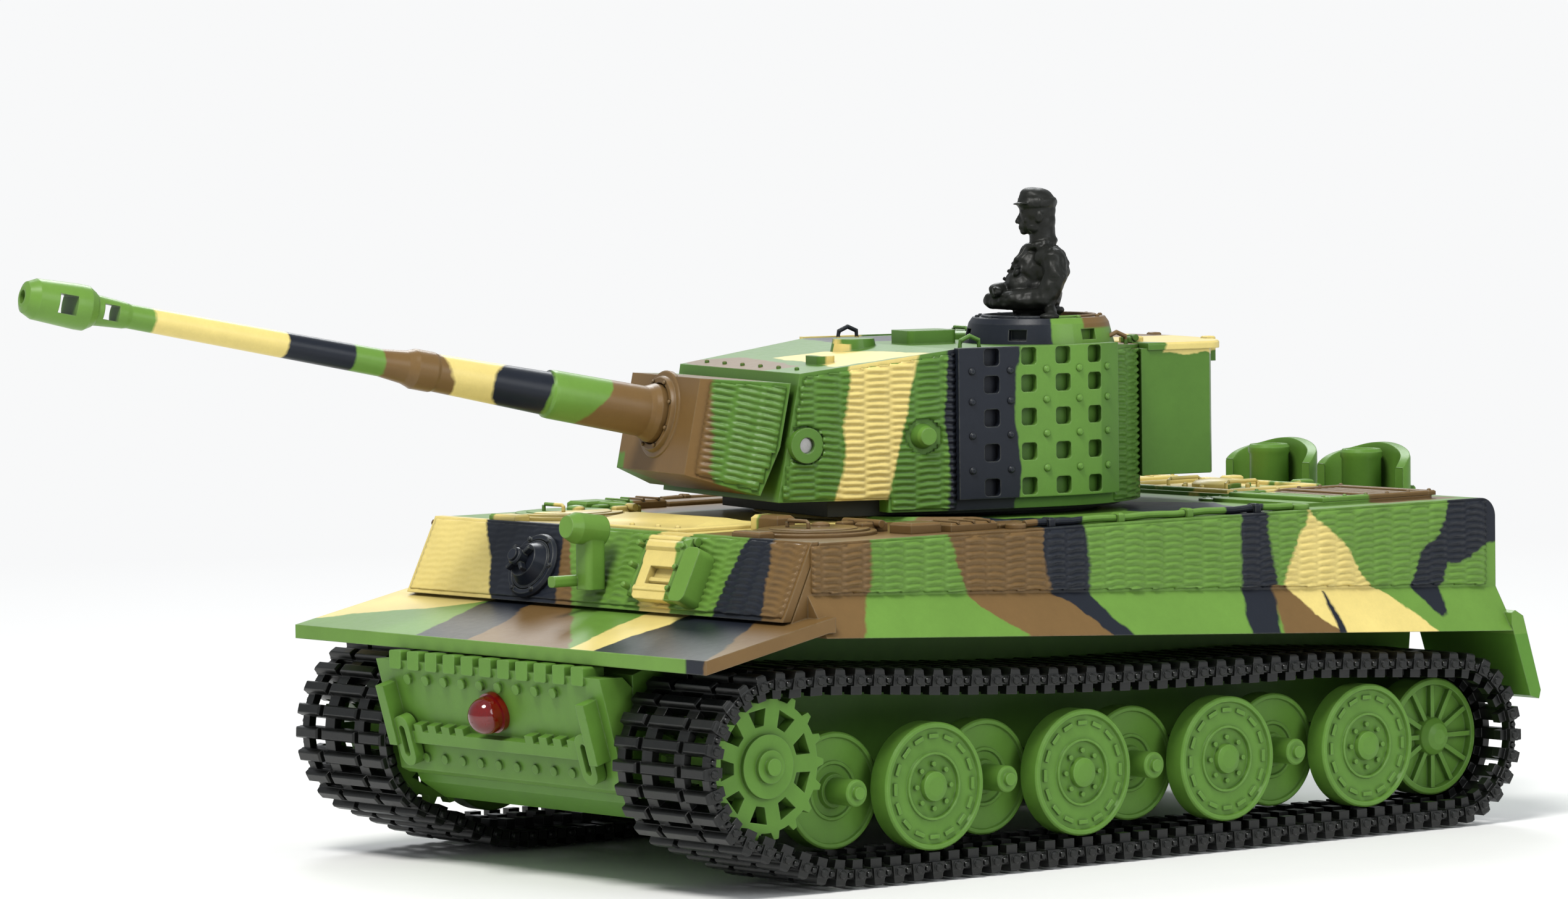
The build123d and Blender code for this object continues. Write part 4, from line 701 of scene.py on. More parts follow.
def paste(name, point, u_span, v_span, inside, depth, mat, body, matrix, seed,
          arch=0.14, amount=None):
    """Relief panel over a wall. point(u, v) gives a place and its outward normal."""
    (u0, u1), (v0, v1) = u_span, v_span
    u_count = max(2, round((u1 - u0) / 0.3))
    v_count = max(2, round((v1 - v0) / (RIB / 5)))
    index, verts, bases = {}, [], []

    def vert(i, j):
        if (i, j) not in index:
            u, v = u0 + (u1 - u0) * i / u_count, v0 + (v1 - v0) * j / v_count
            place, normal = (Vector(p) for p in point(u, v))
            share = amount(u) if amount else 1.0
            index[(i, j)] = len(verts)
            height = PASTE_BASE + depth * share * rib(u, v, seed, arch)
            verts.append(tuple(place + normal * height))
            bases.append((place, normal))
        return index[(i, j)]

    faces, edges = [], {}
    for i in range(u_count):
        for j in range(v_count):
            u = u0 + (u1 - u0) * (i + 0.5) / u_count
            v = v0 + (v1 - v0) * (j + 0.5) / v_count
            if not inside(u, v):
                continue
            face = (vert(i, j), vert(i + 1, j), vert(i + 1, j + 1), vert(i, j + 1))
            faces.append(face)
            for a, b in zip(face, face[1:] + face[:1]):
                if (b, a) in edges:
                    del edges[(b, a)]
                else:
                    edges[(a, b)] = True
    # a skirt sinks the border into the wall
    deep = {}
    for a, b in edges:
        for k in (a, b):
            if k not in deep:
                deep[k] = len(verts)
                place, normal = bases[k]
                verts.append(tuple(place - normal * PASTE_SUNK))
        faces.append((b, a, deep[a], deep[b]))
    # faces look outwards
    a, b, c = (Vector(verts[i]) for i in faces[0][:3])
    if (b - a).cross(c - b).dot(bases[faces[0][0]][1]) < 0:
        faces = [face[::-1] for face in faces]
    piece(name, verts, faces, mat, body, matrix)


def side_paste(name, side, seed):
    """Hull side above the crease: u is y, v is z."""
    def inside(y, z):
        crease = 22.7 - 3.4 * (y + 32.8) / 74.1
        if z < crease + 0.2 or z > 26.45:
            return False
        if y < -32.3 + 0.35 * max(0, 26.8 - z) - 2.2:
            return False
        return y < 40.2 - 0.15 * max(0, z - 25)

    paste("side_paste_" + name, lambda y, z: ((24.2 * side, y, z), (side, 0, 0)),
          (-32.4, 40.4), (19.0, 26.5), inside, 0.26, "hull", "hull", HULL, seed)


side_paste("left", 1, seed=5)
side_paste("right", -1, seed=9)

PLATE_FOOT = Vector((0, -35.25, 20.75))
PLATE_RISE = Vector((0, -32.25, 26.8)) - PLATE_FOOT
PLATE_SLOPE = PLATE_RISE.normalized()
PLATE_OUT = Vector((0, -PLATE_SLOPE.z, PLATE_SLOPE.y))
GUN_PORT = (-8.6, 3.0)              # x, and distance up the slope


def plate_paste():
    """Driver's plate: u is x, v runs up the slope. The paste thins towards the right."""
    def point(u, v):
        place = PLATE_FOOT + PLATE_SLOPE * v
        return (u, place.y, place.z), PLATE_OUT

    def inside(u, v):
        return (u - GUN_PORT[0]) ** 2 + (v - GUN_PORT[1]) ** 2 > 2.4 ** 2

    def amount(u):
        return 0.35 if u < -5 else (0.6 if u < 2 else 1.0)

    paste("plate_paste", point, (-23.8, 23.8), (0.35, PLATE_RISE.length - 0.25), inside, 0.24,
          "plate", "hull", HULL, seed=3, amount=amount)


plate_paste()

# turret wall in plan: slanting, then straight back to y = 0, then round
WALL_START = Vector((10.4, -24.6, 0))
WALL_BEND = Vector((13.5, -9.0, 0))
SLANT = (WALL_BEND - WALL_START).length
SLANT_WAY = (WALL_BEND - WALL_START).normalized()
WALL_R = WALL_BEND.x
STRAIGHT = -WALL_BEND.y
PASTE_HOLES = ((-21.3, 33.0, 1.55), (-11.6, 33.5, 1.45))        # y, z, radius
ROOF_LINE = [(-24.6, 38.3), (-21.6, 38.75), (-9.0, 40.4), (4.0, 40.4), (20.0, 39.6)]  # y, z


def roof_z(y):
    for (y0, z0), (y1, z1) in zip(ROOF_LINE, ROOF_LINE[1:]):
        if y <= y1:
            return z0 + (z1 - z0) * (y - y0) / (y1 - y0)
    return ROOF_LINE[-1][1]


def turret_wall(u, v, side):
    if u <= SLANT:
        place = WALL_START + SLANT_WAY * u
        return (place.x * side, place.y, v), (SLANT_WAY.y * side, -SLANT_WAY.x, 0)
    past_straight = u - SLANT - STRAIGHT
    if past_straight <= 0:
        return (WALL_R * side, WALL_BEND.y + (u - SLANT), v), (side, 0, 0)
    a = past_straight / WALL_R
    x, y = math.cos(a), math.sin(a)
    return (WALL_R * x * side, WALL_R * y, v), (x * side, y, 0)


def turret_paste(name, side, seed):
    """Turret wall: u runs back along it, v is z."""
    def round_wall(degrees):
        return SLANT + STRAIGHT + WALL_R * math.radians(degrees)

    def inside(u, v):
        y = turret_wall(u, v, 1)[0][1]
        if y < -23.5 + (v - 28.6) * 0.184 + 0.3 or v > roof_z(y) - 0.35:
            return False
        if v < (28.65 if y < -14.3 else 27.65):
            return False
        for hole_y, hole_z, radius in PASTE_HOLES:
            if (y - hole_y) ** 2 + (v - hole_z) ** 2 < radius ** 2:
                return False
        if y > -9.1 and u < round_wall(27.5):
            return False
        return u < round_wall(50.0)

    paste("turret_paste_" + name, lambda u, v: turret_wall(u, v, side),
          (0.6, round_wall(51)), (27.5, 40.3), inside, 0.27, "turret", "turret", TURRET, seed,
          arch=0.05)


turret_paste("left", 1, seed=14)
turret_paste("right", -1, seed=23)


def cheek_paste(name, side, seed):
    """Slanting cheek of the gun shield: u runs forward along it, v is z."""
    start, end = Vector((10.8, -1.9, 0)), Vector((6.3, -7.7, 0))
    length = (end - start).length
    way = (end - start).normalized()

    def point(u, v):
        place = start + way * u
        return (place.x * side, place.y, v), (-way.y * side, way.x, 0)

    def inside(u, v):
        taper = 0.75 * (u / length)
        if v < -1.2 and u < (-1.2 - v) * 0.235 + 0.25:
            return False
        return -5.4 + taper + 0.3 < v < 3.95 - taper - 0.3

    paste("shield_paste_" + name, point, (0.25, length - 0.9), (-5.3, 3.9), inside, 0.3,
          "mantlet", "gun", GUN, seed, arch=0.03)


cheek_paste("left", 1, seed=31)
cheek_paste("right", -1, seed=37)

# ---------------------------------------------------------------- tracks
TRACK_BOTTOM = [(-35.6, 1.15, -0.5, -1), (-33.4, 0.42, -0.3, -1), (-31.0, 0.08, -0.15, -1),
                (-28.6, 0, 0, -1), (35.0, 0, 0, -1)]            # y, z, outward y, z
TRACK_TOP = [(28.0, 14.75), (20.0, 15.2), (10.0, 15.32), (0.0, 15.5), (-10.0, 15.85),
             (-20.0, 16.4), (-28.0, 16.95), (-33.0, 17.22)]     # y, z


def loop_points():
    """Outer face of the track as (y, z, outward y, outward z)."""
    def arc(y, z, radius, degrees):
        turns = [(math.cos(math.radians(d)), math.sin(math.radians(d))) for d in degrees]
        return [(y + radius * a, z + radius * b, a, b) for a, b in turns]

    points = arc(-37.7, 9.86, 7.4, [80 + i * 11.4 for i in range(15)])
    points += TRACK_BOTTOM
    points += arc(35.0, 7.14, 7.14, [-90 + i * 12.6 for i in range(1, 15)])
    points += [(y, z, 0.04, 1) for y, z in TRACK_TOP]
    return [(y, z, a / math.hypot(a, b), b / math.hypot(a, b)) for y, z, a, b in points]


LOOP = loop_points()
SPANS = [(p, q, math.hypot(q[0] - p[0], q[1] - p[1])) for p, q in zip(LOOP, LOOP[1:] + LOOP[:1])]
LOOP_LENGTH = sum(length for _, _, length in SPANS)
LINKS = 96
PITCH = LOOP_LENGTH / LINKS


def loop_at(depth, distance):
    """(y, z) at a distance along the track and a depth under its outer face."""
    distance %= LOOP_LENGTH
    for i, (p, q, length) in enumerate(SPANS):
        if distance <= length or i == len(SPANS) - 1:
            t = min(1.0, distance / length)
            y, z, a, b = (v + t * (w - v) for v, w in zip(p, q))
            size = math.hypot(a, b)
            return y - depth * a / size, z - depth * b / size
        distance -= length


# x spans; span along the track; outer and inner depth; chamfer; taper
LINK_BLOCKS = [
    # cross bar with three raised treads
    ([(14.95, 26.45)], (-0.62, 0.62), (0.55, 1.4), 0.0, 0.08),
    ([(15.0, 17.9), (18.5, 22.9), (23.5, 26.4)], (-0.55, 0.55), (0.0, 0.7), 0.14, 0.1),
    # straps between bars
    ([(14.95, 15.9), (17.95, 19.2), (21.9, 23.15), (25.35, 26.2)],
     (0.45, PITCH - 0.45), (0.62, 1.3), 0.0, 0.0),
    # guide lugs inside
    ([(18.0, 19.5), (21.6, 23.05)], (-0.5, 0.5), (1.3, 2.1), 0.0, 0.0),
    ([(25.2, 26.0)], (-0.55, 0.55), (1.3, 2.1), 0.0, 0.0)]
# x, place along the link, radius, and which way the end points
PIN_ENDS = [(26.45, 0.0, 0.36, 1), (26.2, PITCH / 2, 0.27, 1), (14.95, 0.0, 0.33, -1)]
PIN_DEPTH = 0.95


def track(name, side):
    build = Build()

    def block(x_span, t_span, depths, chamfer, taper, base):
        outer, inner = depths
        levels = [(0, 0, inner), (0, taper, outer + chamfer)]
        if chamfer:
            levels.append((chamfer, taper + chamfer, outer))
        verts = []
        for x_in, t_in, depth in levels:
            x0, x1 = x_span[0] + x_in, x_span[1] - x_in
            t0, t1 = t_span[0] + t_in, t_span[1] - t_in
            for x, t in ((x0, t0), (x1, t0), (x1, t1), (x0, t1)):
                verts.append((x * side, *loop_at(depth, base + t)))
        faces = caps(4, len(levels)) + walls(4, len(levels))
        build.add(verts, [face[::-1] for face in faces] if side > 0 else faces)

    for i in range(LINKS):
        base = (i + 0.5) * PITCH
        for x_spans, *rest in LINK_BLOCKS:
            for x_span in x_spans:
                block(x_span, *rest, base)
        for x, t, radius, out in PIN_ENDS:
            place = (x * side, *loop_at(PIN_DEPTH, base + t))
            build.lathe([(radius, -0.3), (radius, 0.14), (radius * 0.7, 0.24)],
                        along(place, (out * side, 0, 0)), 8)
    obj = build.done("track_detail_" + name, "black_rubber", "hull", HULL, 40)
    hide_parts("track_" + name)


for name, side in SIDES:
    track(name, side)


# ---------------------------------------------------------------- crew figure
class Clay:
    """Overlapping rounded lumps, in mm, melted into one skin."""

    def __init__(self):
        self.bm = bmesh.new()

    def ball(self, centre, radii, pitch=0, roll=0, sub=3):
        """Ellipsoid tilted about x by pitch and about y by roll, in degrees."""
        matrix = at(*centre) @ turn(pitch, "X") @ turn(roll, "Y")
        bmesh.ops.create_icosphere(self.bm, subdivisions=sub, radius=1.0,
                                   matrix=matrix @ Matrix.Diagonal((*radii, 1)))

    def balls(self, table):
        for row in table:
            self.ball(*row)

    def limb(self, path, sub=2):
        """Run of balls along [(point, radius), ...]."""
        for (a, start), (b, end) in zip(path, path[1:]):
            a, b = Vector(a), Vector(b)
            count = max(2, int((b - a).length / (min(start, end) * 0.28)))
            for i in range(count + 1):
                t = i / count
                self.ball(a.lerp(b, t), (start + (end - start) * t,) * 3, sub=sub)

    def band(self, count, y, z, reach_x, reach_y, tilt, radii):
        """Oval of balls, raised by tilt at the back."""
        for a, b in circle(1.0, count):
            self.ball((reach_x * a, y + reach_y * b, z + tilt * b), radii, sub=2)

    def skin(self, voxel, smooth):
        mesh = bpy.data.meshes.new("clay")
        self.bm.to_mesh(mesh)
        self.bm.free()
        obj = bpy.data.objects.new("clay", mesh)
        bpy.context.scene.collection.objects.link(obj)
        melt = obj.modifiers.new("melt", "REMESH")
        melt.mode = "VOXEL"
        melt.voxel_size = voxel
        melt.use_smooth_shade = True
        ease = obj.modifiers.new("ease", "SMOOTH")
        ease.factor = 0.5
        ease.iterations = smooth
        evaluated = obj.evaluated_get(bpy.context.evaluated_depsgraph_get())
        melted = evaluated.to_mesh()
        verts = [tuple(v.co) for v in melted.vertices]
        faces = [tuple(p.vertices) for p in melted.polygons]
        evaluated.to_mesh_clear()
        bpy.data.objects.remove(obj)
        bpy.data.meshes.remove(mesh)
        return verts, faces


# rows of centre, radii, pitch
TORSO = [
    ((0, 0.75, 46.3), (2.3, 1.75, 2.1)), ((0, -0.25, 46.1), (1.9, 1.75, 2.0), 25),
    ((0, -1.2, 44.9), (1.9, 1.7, 1.6), 20), ((0, 0.1, 44.3), (2.1, 1.8, 2.0)),
    ((0, -0.1, 42.6), (2.2, 1.95, 1.7)), ((0, 0.0, 40.4), (1.85, 1.85, 1.9))]
HEAD = [
    ((0, 0.0, 51.15), (1.34, 1.5, 1.5)), ((0, 0.15, 50.3), (1.2, 1.35, 1.2)),
    ((0, -0.5, 50.15), (1.0, 1.02, 1.0)), ((0, -0.8, 50.75), (0.94, 0.68, 0.85)),
    ((0, -1.12, 49.42), (0.44, 0.34, 0.3))]
LIPS = [((0, -1.42, 49.84), (0.38, 0.17, 0.08)), ((0, -1.4, 49.65), (0.32, 0.18, 0.09))]
CAP_CROWN = [
    ((0, -0.1, 52.15), (1.36, 1.42, 0.85)), ((0, -0.35, 52.42), (1.15, 1.08, 0.62), -6),
    ((0, 0.4, 52.1), (1.1, 1.15, 0.7), -18)]
# side, hand, z of the middle of the forearm, elbow
ARMS = [(1, (-0.5, -3.75, 43.75), 43.85, (2.75, 0.55, 44.05)),
        (-1, (0.7, -3.3, 44.55), 44.5, (-2.85, 0.4, 44.2))]


def model_arms(clay):
    """Upper arms, elbows and forearms folded in front."""
    for side, hand, middle_z, elbow in ARMS:
        x, y, z = hand
        clay.limb([((side * 2.2, 1.2, 47.1), 1.05), ((side * 2.75, 1.35, 45.8), 1.0),
                   (elbow, 0.98)])
        middle = (elbow[0] * 0.55 + x * 0.45 + side * 0.55, -2.0, middle_z)
        clay.limb([(elbow, 0.95), (middle, 0.85), (hand, 0.72)])
        # sleeve folds, cuff, hand and fingers
        for k in range(4):
            clay.ball((side * 2.9, 1.5 - 0.35 * k, 45.7 - 0.42 * k), (0.6, 0.75, 0.16), 35 - 14 * k)
        clay.ball(hand, (0.8, 0.72, 0.72))
        clay.ball((x - side * 0.75, y - 0.08, z - 0.02), (0.6, 0.5, 0.4))
        for k in range(4):
            clay.ball((x - side * (0.95 + 0.1 * (k % 2)), y - 0.3, z - 0.36 + k * 0.22),
                      (0.44, 0.16, 0.13), sub=2)


def model_coat(clay):
    """Collar, lapels, pockets, shoulder straps and the hem on the cupola's rim."""
    clay.band(22, 0.2, 48.35, 1.12, 1.15, 0.28, (0.3, 0.3, 0.36))
    for s in (-1, 1):
        clay.limb([((s * 0.62, -0.85, 48.2), 0.26), ((s * 0.95, -1.65, 47.2), 0.24),
                   ((s * 0.4, -2.25, 46.2), 0.16)])
        clay.ball((s * 1.15, -1.75, 46.1), (0.55, 0.3, 0.45), -25)
        clay.ball((s * 1.15, -1.72, 46.5), (0.6, 0.28, 0.13))
        clay.limb([((s * 1.1, 0.5, 48.25), 0.22), ((s * 2.35, 0.95, 47.95), 0.26)])
    clay.band(44, 0.0, 42.95, 2.12, 1.95, 0.0, (0.22, 0.22, 0.28))
    clay.ball((0, -1.95, 42.95), (0.42, 0.22, 0.36))
    clay.limb([((2.0, 0.7, 43.3), 0.5), ((3.4, 0.9, 42.95), 0.5), ((4.6, 0.95, 42.75), 0.45)])
    clay.ball((4.9, 0.75, 42.62), (0.5, 0.85, 0.3))


def model_head(clay):
    clay.limb([((0, 0.45, 47.9), 1.15), ((0, 0.35, 49.6), 1.05)], sub=3)
    clay.balls(HEAD)
    for s in (-1, 1):
        clay.ball((s * 0.64, -0.92, 50.36), (0.36, 0.34, 0.28))
        clay.ball((s * 0.76, -0.25, 49.75), (0.38, 0.65, 0.44))
        clay.ball((s * 1.33, 0.1, 50.6), (0.16, 0.32, 0.48), -12)
        clay.ball((s * 0.42, -1.26, 51.05), (0.38, 0.2, 0.1), 0, s * 6)
        clay.ball((s * 0.42, -1.27, 50.76), (0.21, 0.14, 0.1))
        clay.ball((s * 0.18, -1.52, 50.14), (0.14, 0.16, 0.12), sub=2)
    clay.limb([((0, -1.34, 50.9), 0.15), ((0, -1.58, 50.45), 0.17), ((0, -1.68, 50.22), 0.2)])
    clay.balls(LIPS)


def model_cap(clay):
    """Soft field cap: turned-up flap, crown tipping back, short peak."""
    clay.band(40, -0.02, 51.75, 1.36, 1.5, 0.06, (0.16, 0.16, 0.4))
    clay.balls(CAP_CROWN)
    for i in range(15):
        angle = math.radians(-145 + i * 110 / 14)
        a, b = math.cos(angle), math.sin(angle)
        for k in range(3):
            reach = 1.25 + k * 0.22
            clay.ball((0.95 * reach * a, 0.05 + 1.12 * reach * b, 51.62 + 0.02 * k + 0.08 * abs(a)),
                      (0.2, 0.2, 0.085), sub=2)


def creased(x, y, z):
    """Folds of cloth below the collar, and light dents in the cap and the back of the head."""
    if z < 48.2:
        fold = noise.noise(Vector((x * 0.75 + 7, y * 0.75, z * 1.25))) * 0.2
        fold += noise.noise(Vector((x * 2.1, y * 2.1, z * 1.4 + 9))) * 0.09
        out = Vector((x, y - 0.3, 0))
        if out.length > 0.3:
            out.normalize()
            x, y = x + out.x * fold, y + out.y * fold
    elif z > 51.7 or y > 0.2:
        dent = noise.noise(Vector((x * 1.6 + 3, y * 1.6, z * 1.6))) * 0.05
        x, y = x * (1 + dent), y * (1 + dent)
    return x, y, z


def figure():
    """Stout crewman leaning on folded arms, in the cupola's frame, facing -y."""
    clay = Clay()
    clay.balls(TORSO)
    for s in (-1, 1):
        clay.ball((s * 1.5, 0.95, 47.3), (1.25, 1.35, 0.95), 0, s * 20)
        clay.ball((s * 1.2, 1.3, 46.4), (1.2, 1.2, 1.5))
    model_arms(clay)
    model_coat(clay)
    model_head(clay)
    model_cap(clay)
    verts, faces = clay.skin(voxel=0.09, smooth=3)
    obj = piece("crew_figure", [creased(*v) for v in verts], faces, "figure_plastic", "turret",
                CREW)
    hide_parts("commander_figure")


def figure_buttons():
    """Coat buttons, cap badge and strap studs."""
    build = Build()
    for k in range(3):
        build.lathe([(0.15, -0.35), (0.15, 0.06), (0.08, 0.12)],
                    along((0, -2.05 - 0.36 * k, 46.8 - k * 0.62), (0, -0.8, 0.5)), 10)
    build.lathe([(0.17, -0.2), (0.17, 0.05), (0.1, 0.1)],
                along((0, -1.5, 52.0), (0, -1, 0.1)), 12)
    for s in (-1, 1):
        build.lathe([(0.11, -0.2), (0.11, 0.06), (0.07, 0.1)],
                    along((s * 1.25, 0.55, 48.45), UP), 8)
    build.done("crew_figure_buttons", "figure_plastic", "turret", CREW, 40)


figure()
figure_buttons()

# ---------------------------------------------------------------- deck
PANEL_Z = DECK_Z + 0.28             # top of the grilles and the engine hatch
HATCH_X, HATCH_Y = 15.6, -25.0
# lathe profiles are (radius, height)
HATCH_DISC = [(3.5, 0.44), (3.5, 0.5), (3.3, 0.56)]
HATCH_KNOB = [(0.75, 0.5), (0.75, 0.75), (0.55, 0.9), (0.2, 0.95)]
FILLER_CAP = [(1.5, -0.1), (1.5, 0.18), (1.35, 0.24), (0.5, 0.24), (0.5, 0.3), (0.35, 0.33)]
CAP_SCREW = [(0.14, 0.2), (0.14, 0.29), (0.08, 0.32)]
GRILLE_BOLT = [(0.17, 0.38), (0.17, 0.48), (0.1, 0.54)]
ENGINE_DOME = [(2.1, 0), (2.1, 0.35), (1.8, 0.6), (0.6, 0.75)]
ENGINE_BOLT = [(0.2, 0), (0.2, 0.3), (0.12, 0.38)]
COVER_BOLT = [(0.22, 0.3), (0.22, 0.46), (0.12, 0.54)]
# x, half width, y span, height, chamfer
EDGE_BLOCKS = [(20.6, 1.3, (-20.3, -17.2), 0.85, 0.2), (20.9, 1.5, (-16.6, -11.8), 0.7, 0.2),
               (20.9, 1.2, (-11.3, -2.5), 0.4, 0.15)]


def over(base, height):
    """z span from a surface up to a height over it."""
    return base, base + height


def crew_hatch(deck, x, y):
    """Ring, disc, hinge, handle and knob, with the periscope guard in front."""
    deck.ring(x, y, DECK_Z - 0.02, 4.45, 5.0, 0.32)
    deck.lathe(HATCH_DISC, at(x, y, DECK_Z), 36)
    for k in (-1, 1):
        deck.box(span(x + k * 1.2, 0.45), (y + 3.6, y + 6.2), over(DECK_Z, 0.75), 0.12)
    deck.tube([(x - 2.3, y + 5.1, DECK_Z + 0.62), (x + 2.3, y + 5.1, DECK_Z + 0.62)], 0.33, 12)
    deck.handle((x - 1.3, y - 1.6, DECK_Z + 0.5), (x + 1.3, y - 1.6, DECK_Z + 0.5), 0.6)
    deck.lathe(HATCH_KNOB, at(x, y + 0.7, DECK_Z), 20)
    deck.box(span(x, 1.7), (y - 6.9, y - 5.4), over(DECK_Z, 0.55), 0.15)


def edge_fittings(deck, side):
    for x, half, y_span, height, chamfer in EDGE_BLOCKS:
        deck.box(span(x * side, half), y_span, over(DECK_Z, height), chamfer)
    for y in (-15.8, -14.2, -12.6):
        deck.tube([(x, y, DECK_Z + 0.72) for x in span(20.9 * side, 1.5)], 0.14, 8)


def filler_cap(deck, x, y):
    deck.lathe(FILLER_CAP, at(x, y, DECK_Z), 28)
    for a, b in circle(1.05, 6):
        deck.lathe(CAP_SCREW, at(x + a, y + b, DECK_Z), 8)


def grille(deck, side):
    """Frame with a cross bar, slats, and bolts down both sides."""
    x0, x1 = span(15.8 * side, 5.7)
    y0, y1 = 24.3, 37.1
    bar = 0.8
    frame_z = over(PANEL_Z, 0.4)
    inner_x, inner_y = (x0 + bar, x1 - bar), (y0 + bar, y1 - bar)
    for x_span, y_span in (((x0, x1), (y0, y0 + bar)), ((x0, x1), (y1 - bar, y1)),
                           ((x0, x0 + bar), inner_y), ((x1 - bar, x1), inner_y),
                           (inner_x, (30.3, 31.1))):
        deck.box(x_span, y_span, frame_z, 0.1)
    for k in range(17):
        y = y0 + 1.35 + k * 0.77
        if 29.9 < y < 31.5 or y > y1 - 1.0:
            continue
        deck.box(inner_x, span(y, 0.14), over(PANEL_Z, 0.26), 0.06)
    for x in (x0 + bar / 2, x1 - bar / 2):
        for k in range(6):
            deck.lathe(GRILLE_BOLT, at(x, y0 + bar / 2 + k * 2.4, PANEL_Z), 8)


def engine_hatch(deck):
    frame_z = over(PANEL_Z, 0.35)
    deck.box((-7.2, 7.2), (26.8, 27.5), frame_z, 0.1)
    deck.box((-7.2, 7.2), (36.9, 37.6), frame_z, 0.1)
    for k in (-1, 1):
        deck.box(span(k * 6.85, 0.35), (27.5, 36.9), frame_z, 0.1)
        deck.box(span(k * 4.4, 0.6), (37.2, 38.8), over(DECK_Z, 0.85), 0.15)
        deck.handle((k * 3.6, 30.0, PANEL_Z), (k * 3.6, 33.6, PANEL_Z), 0.7)
    centre_y = 32.2
    deck.lathe(ENGINE_DOME, at(0, centre_y, PANEL_Z), 36)
    for a, b in circle(2.9, 8, 0.39):
        deck.lathe(ENGINE_BOLT, at(a, centre_y + b, PANEL_Z), 8)


def centre_cover(deck):
    """Ridged cover between the front hatches, and a block to its left."""
    deck.box((-7.6, 6.6), (-31.6, -21.6), over(DECK_Z, 0.35), 0.12)
    low, high = DECK_Z + 0.3, DECK_Z + 0.85
    deck.add([(-7.0, -29.5, low), (6.0, -29.5, low), (6.0, -22.5, low), (-7.0, -22.5, low),
              (-6.2, -26.4, high), (5.2, -26.4, high), (5.2, -25.4, high),
              (-6.2, -25.4, high)], caps(4, 2) + walls(4, 2))
    deck.box((7.7, 11.0), (-24.9, -23.1), over(DECK_Z, 1.2), 0.25)
    for x in (-6.9, -3.4, 0.1, 3.4, 5.9):
        deck.lathe(COVER_BOLT, at(x, -30.9, DECK_Z), 8)


def splash_guard(deck):
    """Low arc round the front of the turret, fading at both ends."""
    steps = 48
    verts = []
    for i in range(steps + 1):
        a = math.radians(-148 + 116 * i / steps)
        top = 0.27 * max(0.0, min(1.0, min(i, steps - i) / 4)) + 0.05
        for radius, height in ((17.4, 0), (18.5, 0), (18.2, top), (17.7, top)):
            verts.append((radius * math.cos(a), TURRET_BACK + radius * math.sin(a),
                          DECK_Z + height))
    deck.add(verts, inside_out(walls(4, steps + 1), caps(4, steps + 1)))


def deck_fittings():
    deck = Build()
    for side in (-1, 1):
        crew_hatch(deck, HATCH_X * side, HATCH_Y)
        edge_fittings(deck, side)
        filler_cap(deck, 9.6 * side, 23.4)
        grille(deck, side)
    engine_hatch(deck)
    centre_cover(deck)
    splash_guard(deck)
    deck.done("deck_fittings", "hull", "hull", HULL)


def deck_cables():
    """Cable along each edge of the deck, with an eye at both ends and four clamps."""
    build = Build()
    for side in (-1, 1):
        x = side * 23.0
        points = [(x, -9.5 + k * 1.6, DECK_Z + 0.32 + 0.05 * math.sin(k * 1.7))
                  for k in range(19)]
        build.tube(points, 0.3)
        for end, beyond_end in ((points[0], -0.9), (points[-1], 0.9)):
            build.ring(x, end[1] + beyond_end, DECK_Z, 0.45, 0.85, 0.42, 18)
        for k in range(4):
            build.box(span(x, 0.55), span(-7.0 + k * 7.4, 0.3), over(DECK_Z, 0.72), 0.15)
    build.done("deck_cables", "hull", "hull", HULL)


deck_fittings()
deck_cables()


# ---------------------------------------------------------------- turret fittings
def roof_fittings():
    """Second hatch, lifting hooks and a row of bolts near the front edge."""
    build = Build()
    x, y = -5.6, 2.6
    build.ring(x, y, 40.0, 3.5, 4.0, 0.9)
    build.lathe([(3.45, 0.05), (3.45, 0.6), (3.2, 0.7)], at(x, y, 40.3), 36)
    build.handle((x - 1.2, y - 1.0, 40.75), (x + 1.2, y - 1.0, 40.75), 0.5)
    for k in (-1, 1):
        build.box(span(x + k * 1.3, 0.4), (5.6, 7.4), (40.2, 41.0), 0.12)
    build.tube([(x - 2.0, 6.7, 40.85), (x + 2.0, 6.7, 40.85)], 0.3, 12)
    hook = [(-0.9, -0.1), (-0.8, 0.6), (0, 0.95), (0.8, 0.6), (0.9, -0.1)]      # y, z
    for x, y in ((-11.3, -6.0), (11.6, -6.6), (-8.6, 8.2), (8.9, 8.4)):
        build.tube([(x, y + a, roof_z(y) + b) for a, b in hook], 0.2, 8)
    y = -20.4
    for x in (-8.5, -5.2, -1.9, 1.4, 4.7, 8.0):
        build.lathe([(0.2, -0.1), (0.2, 0.16), (0.11, 0.24)], at(x, y, roof_z(y)), 8)
    build.done("roof_fittings", "turret", "turret", TURRET)


def cupola_fittings():
    """Bolts round the cupola's top and a ring inside them."""
    build = Build()
    x, y = CUPOLA
    for a, b in circle(5.1, 12, 0.2):
        build.lathe([(0.2, -0.1), (0.2, 0.12), (0.12, 0.2)], at(x + a, y + b, 42.45), 8)
    build.ring(x, y, 42.35, 4.42, 4.75, 0.3, 44)
    build.done("cupola_fittings", "cupola", "turret", TURRET)


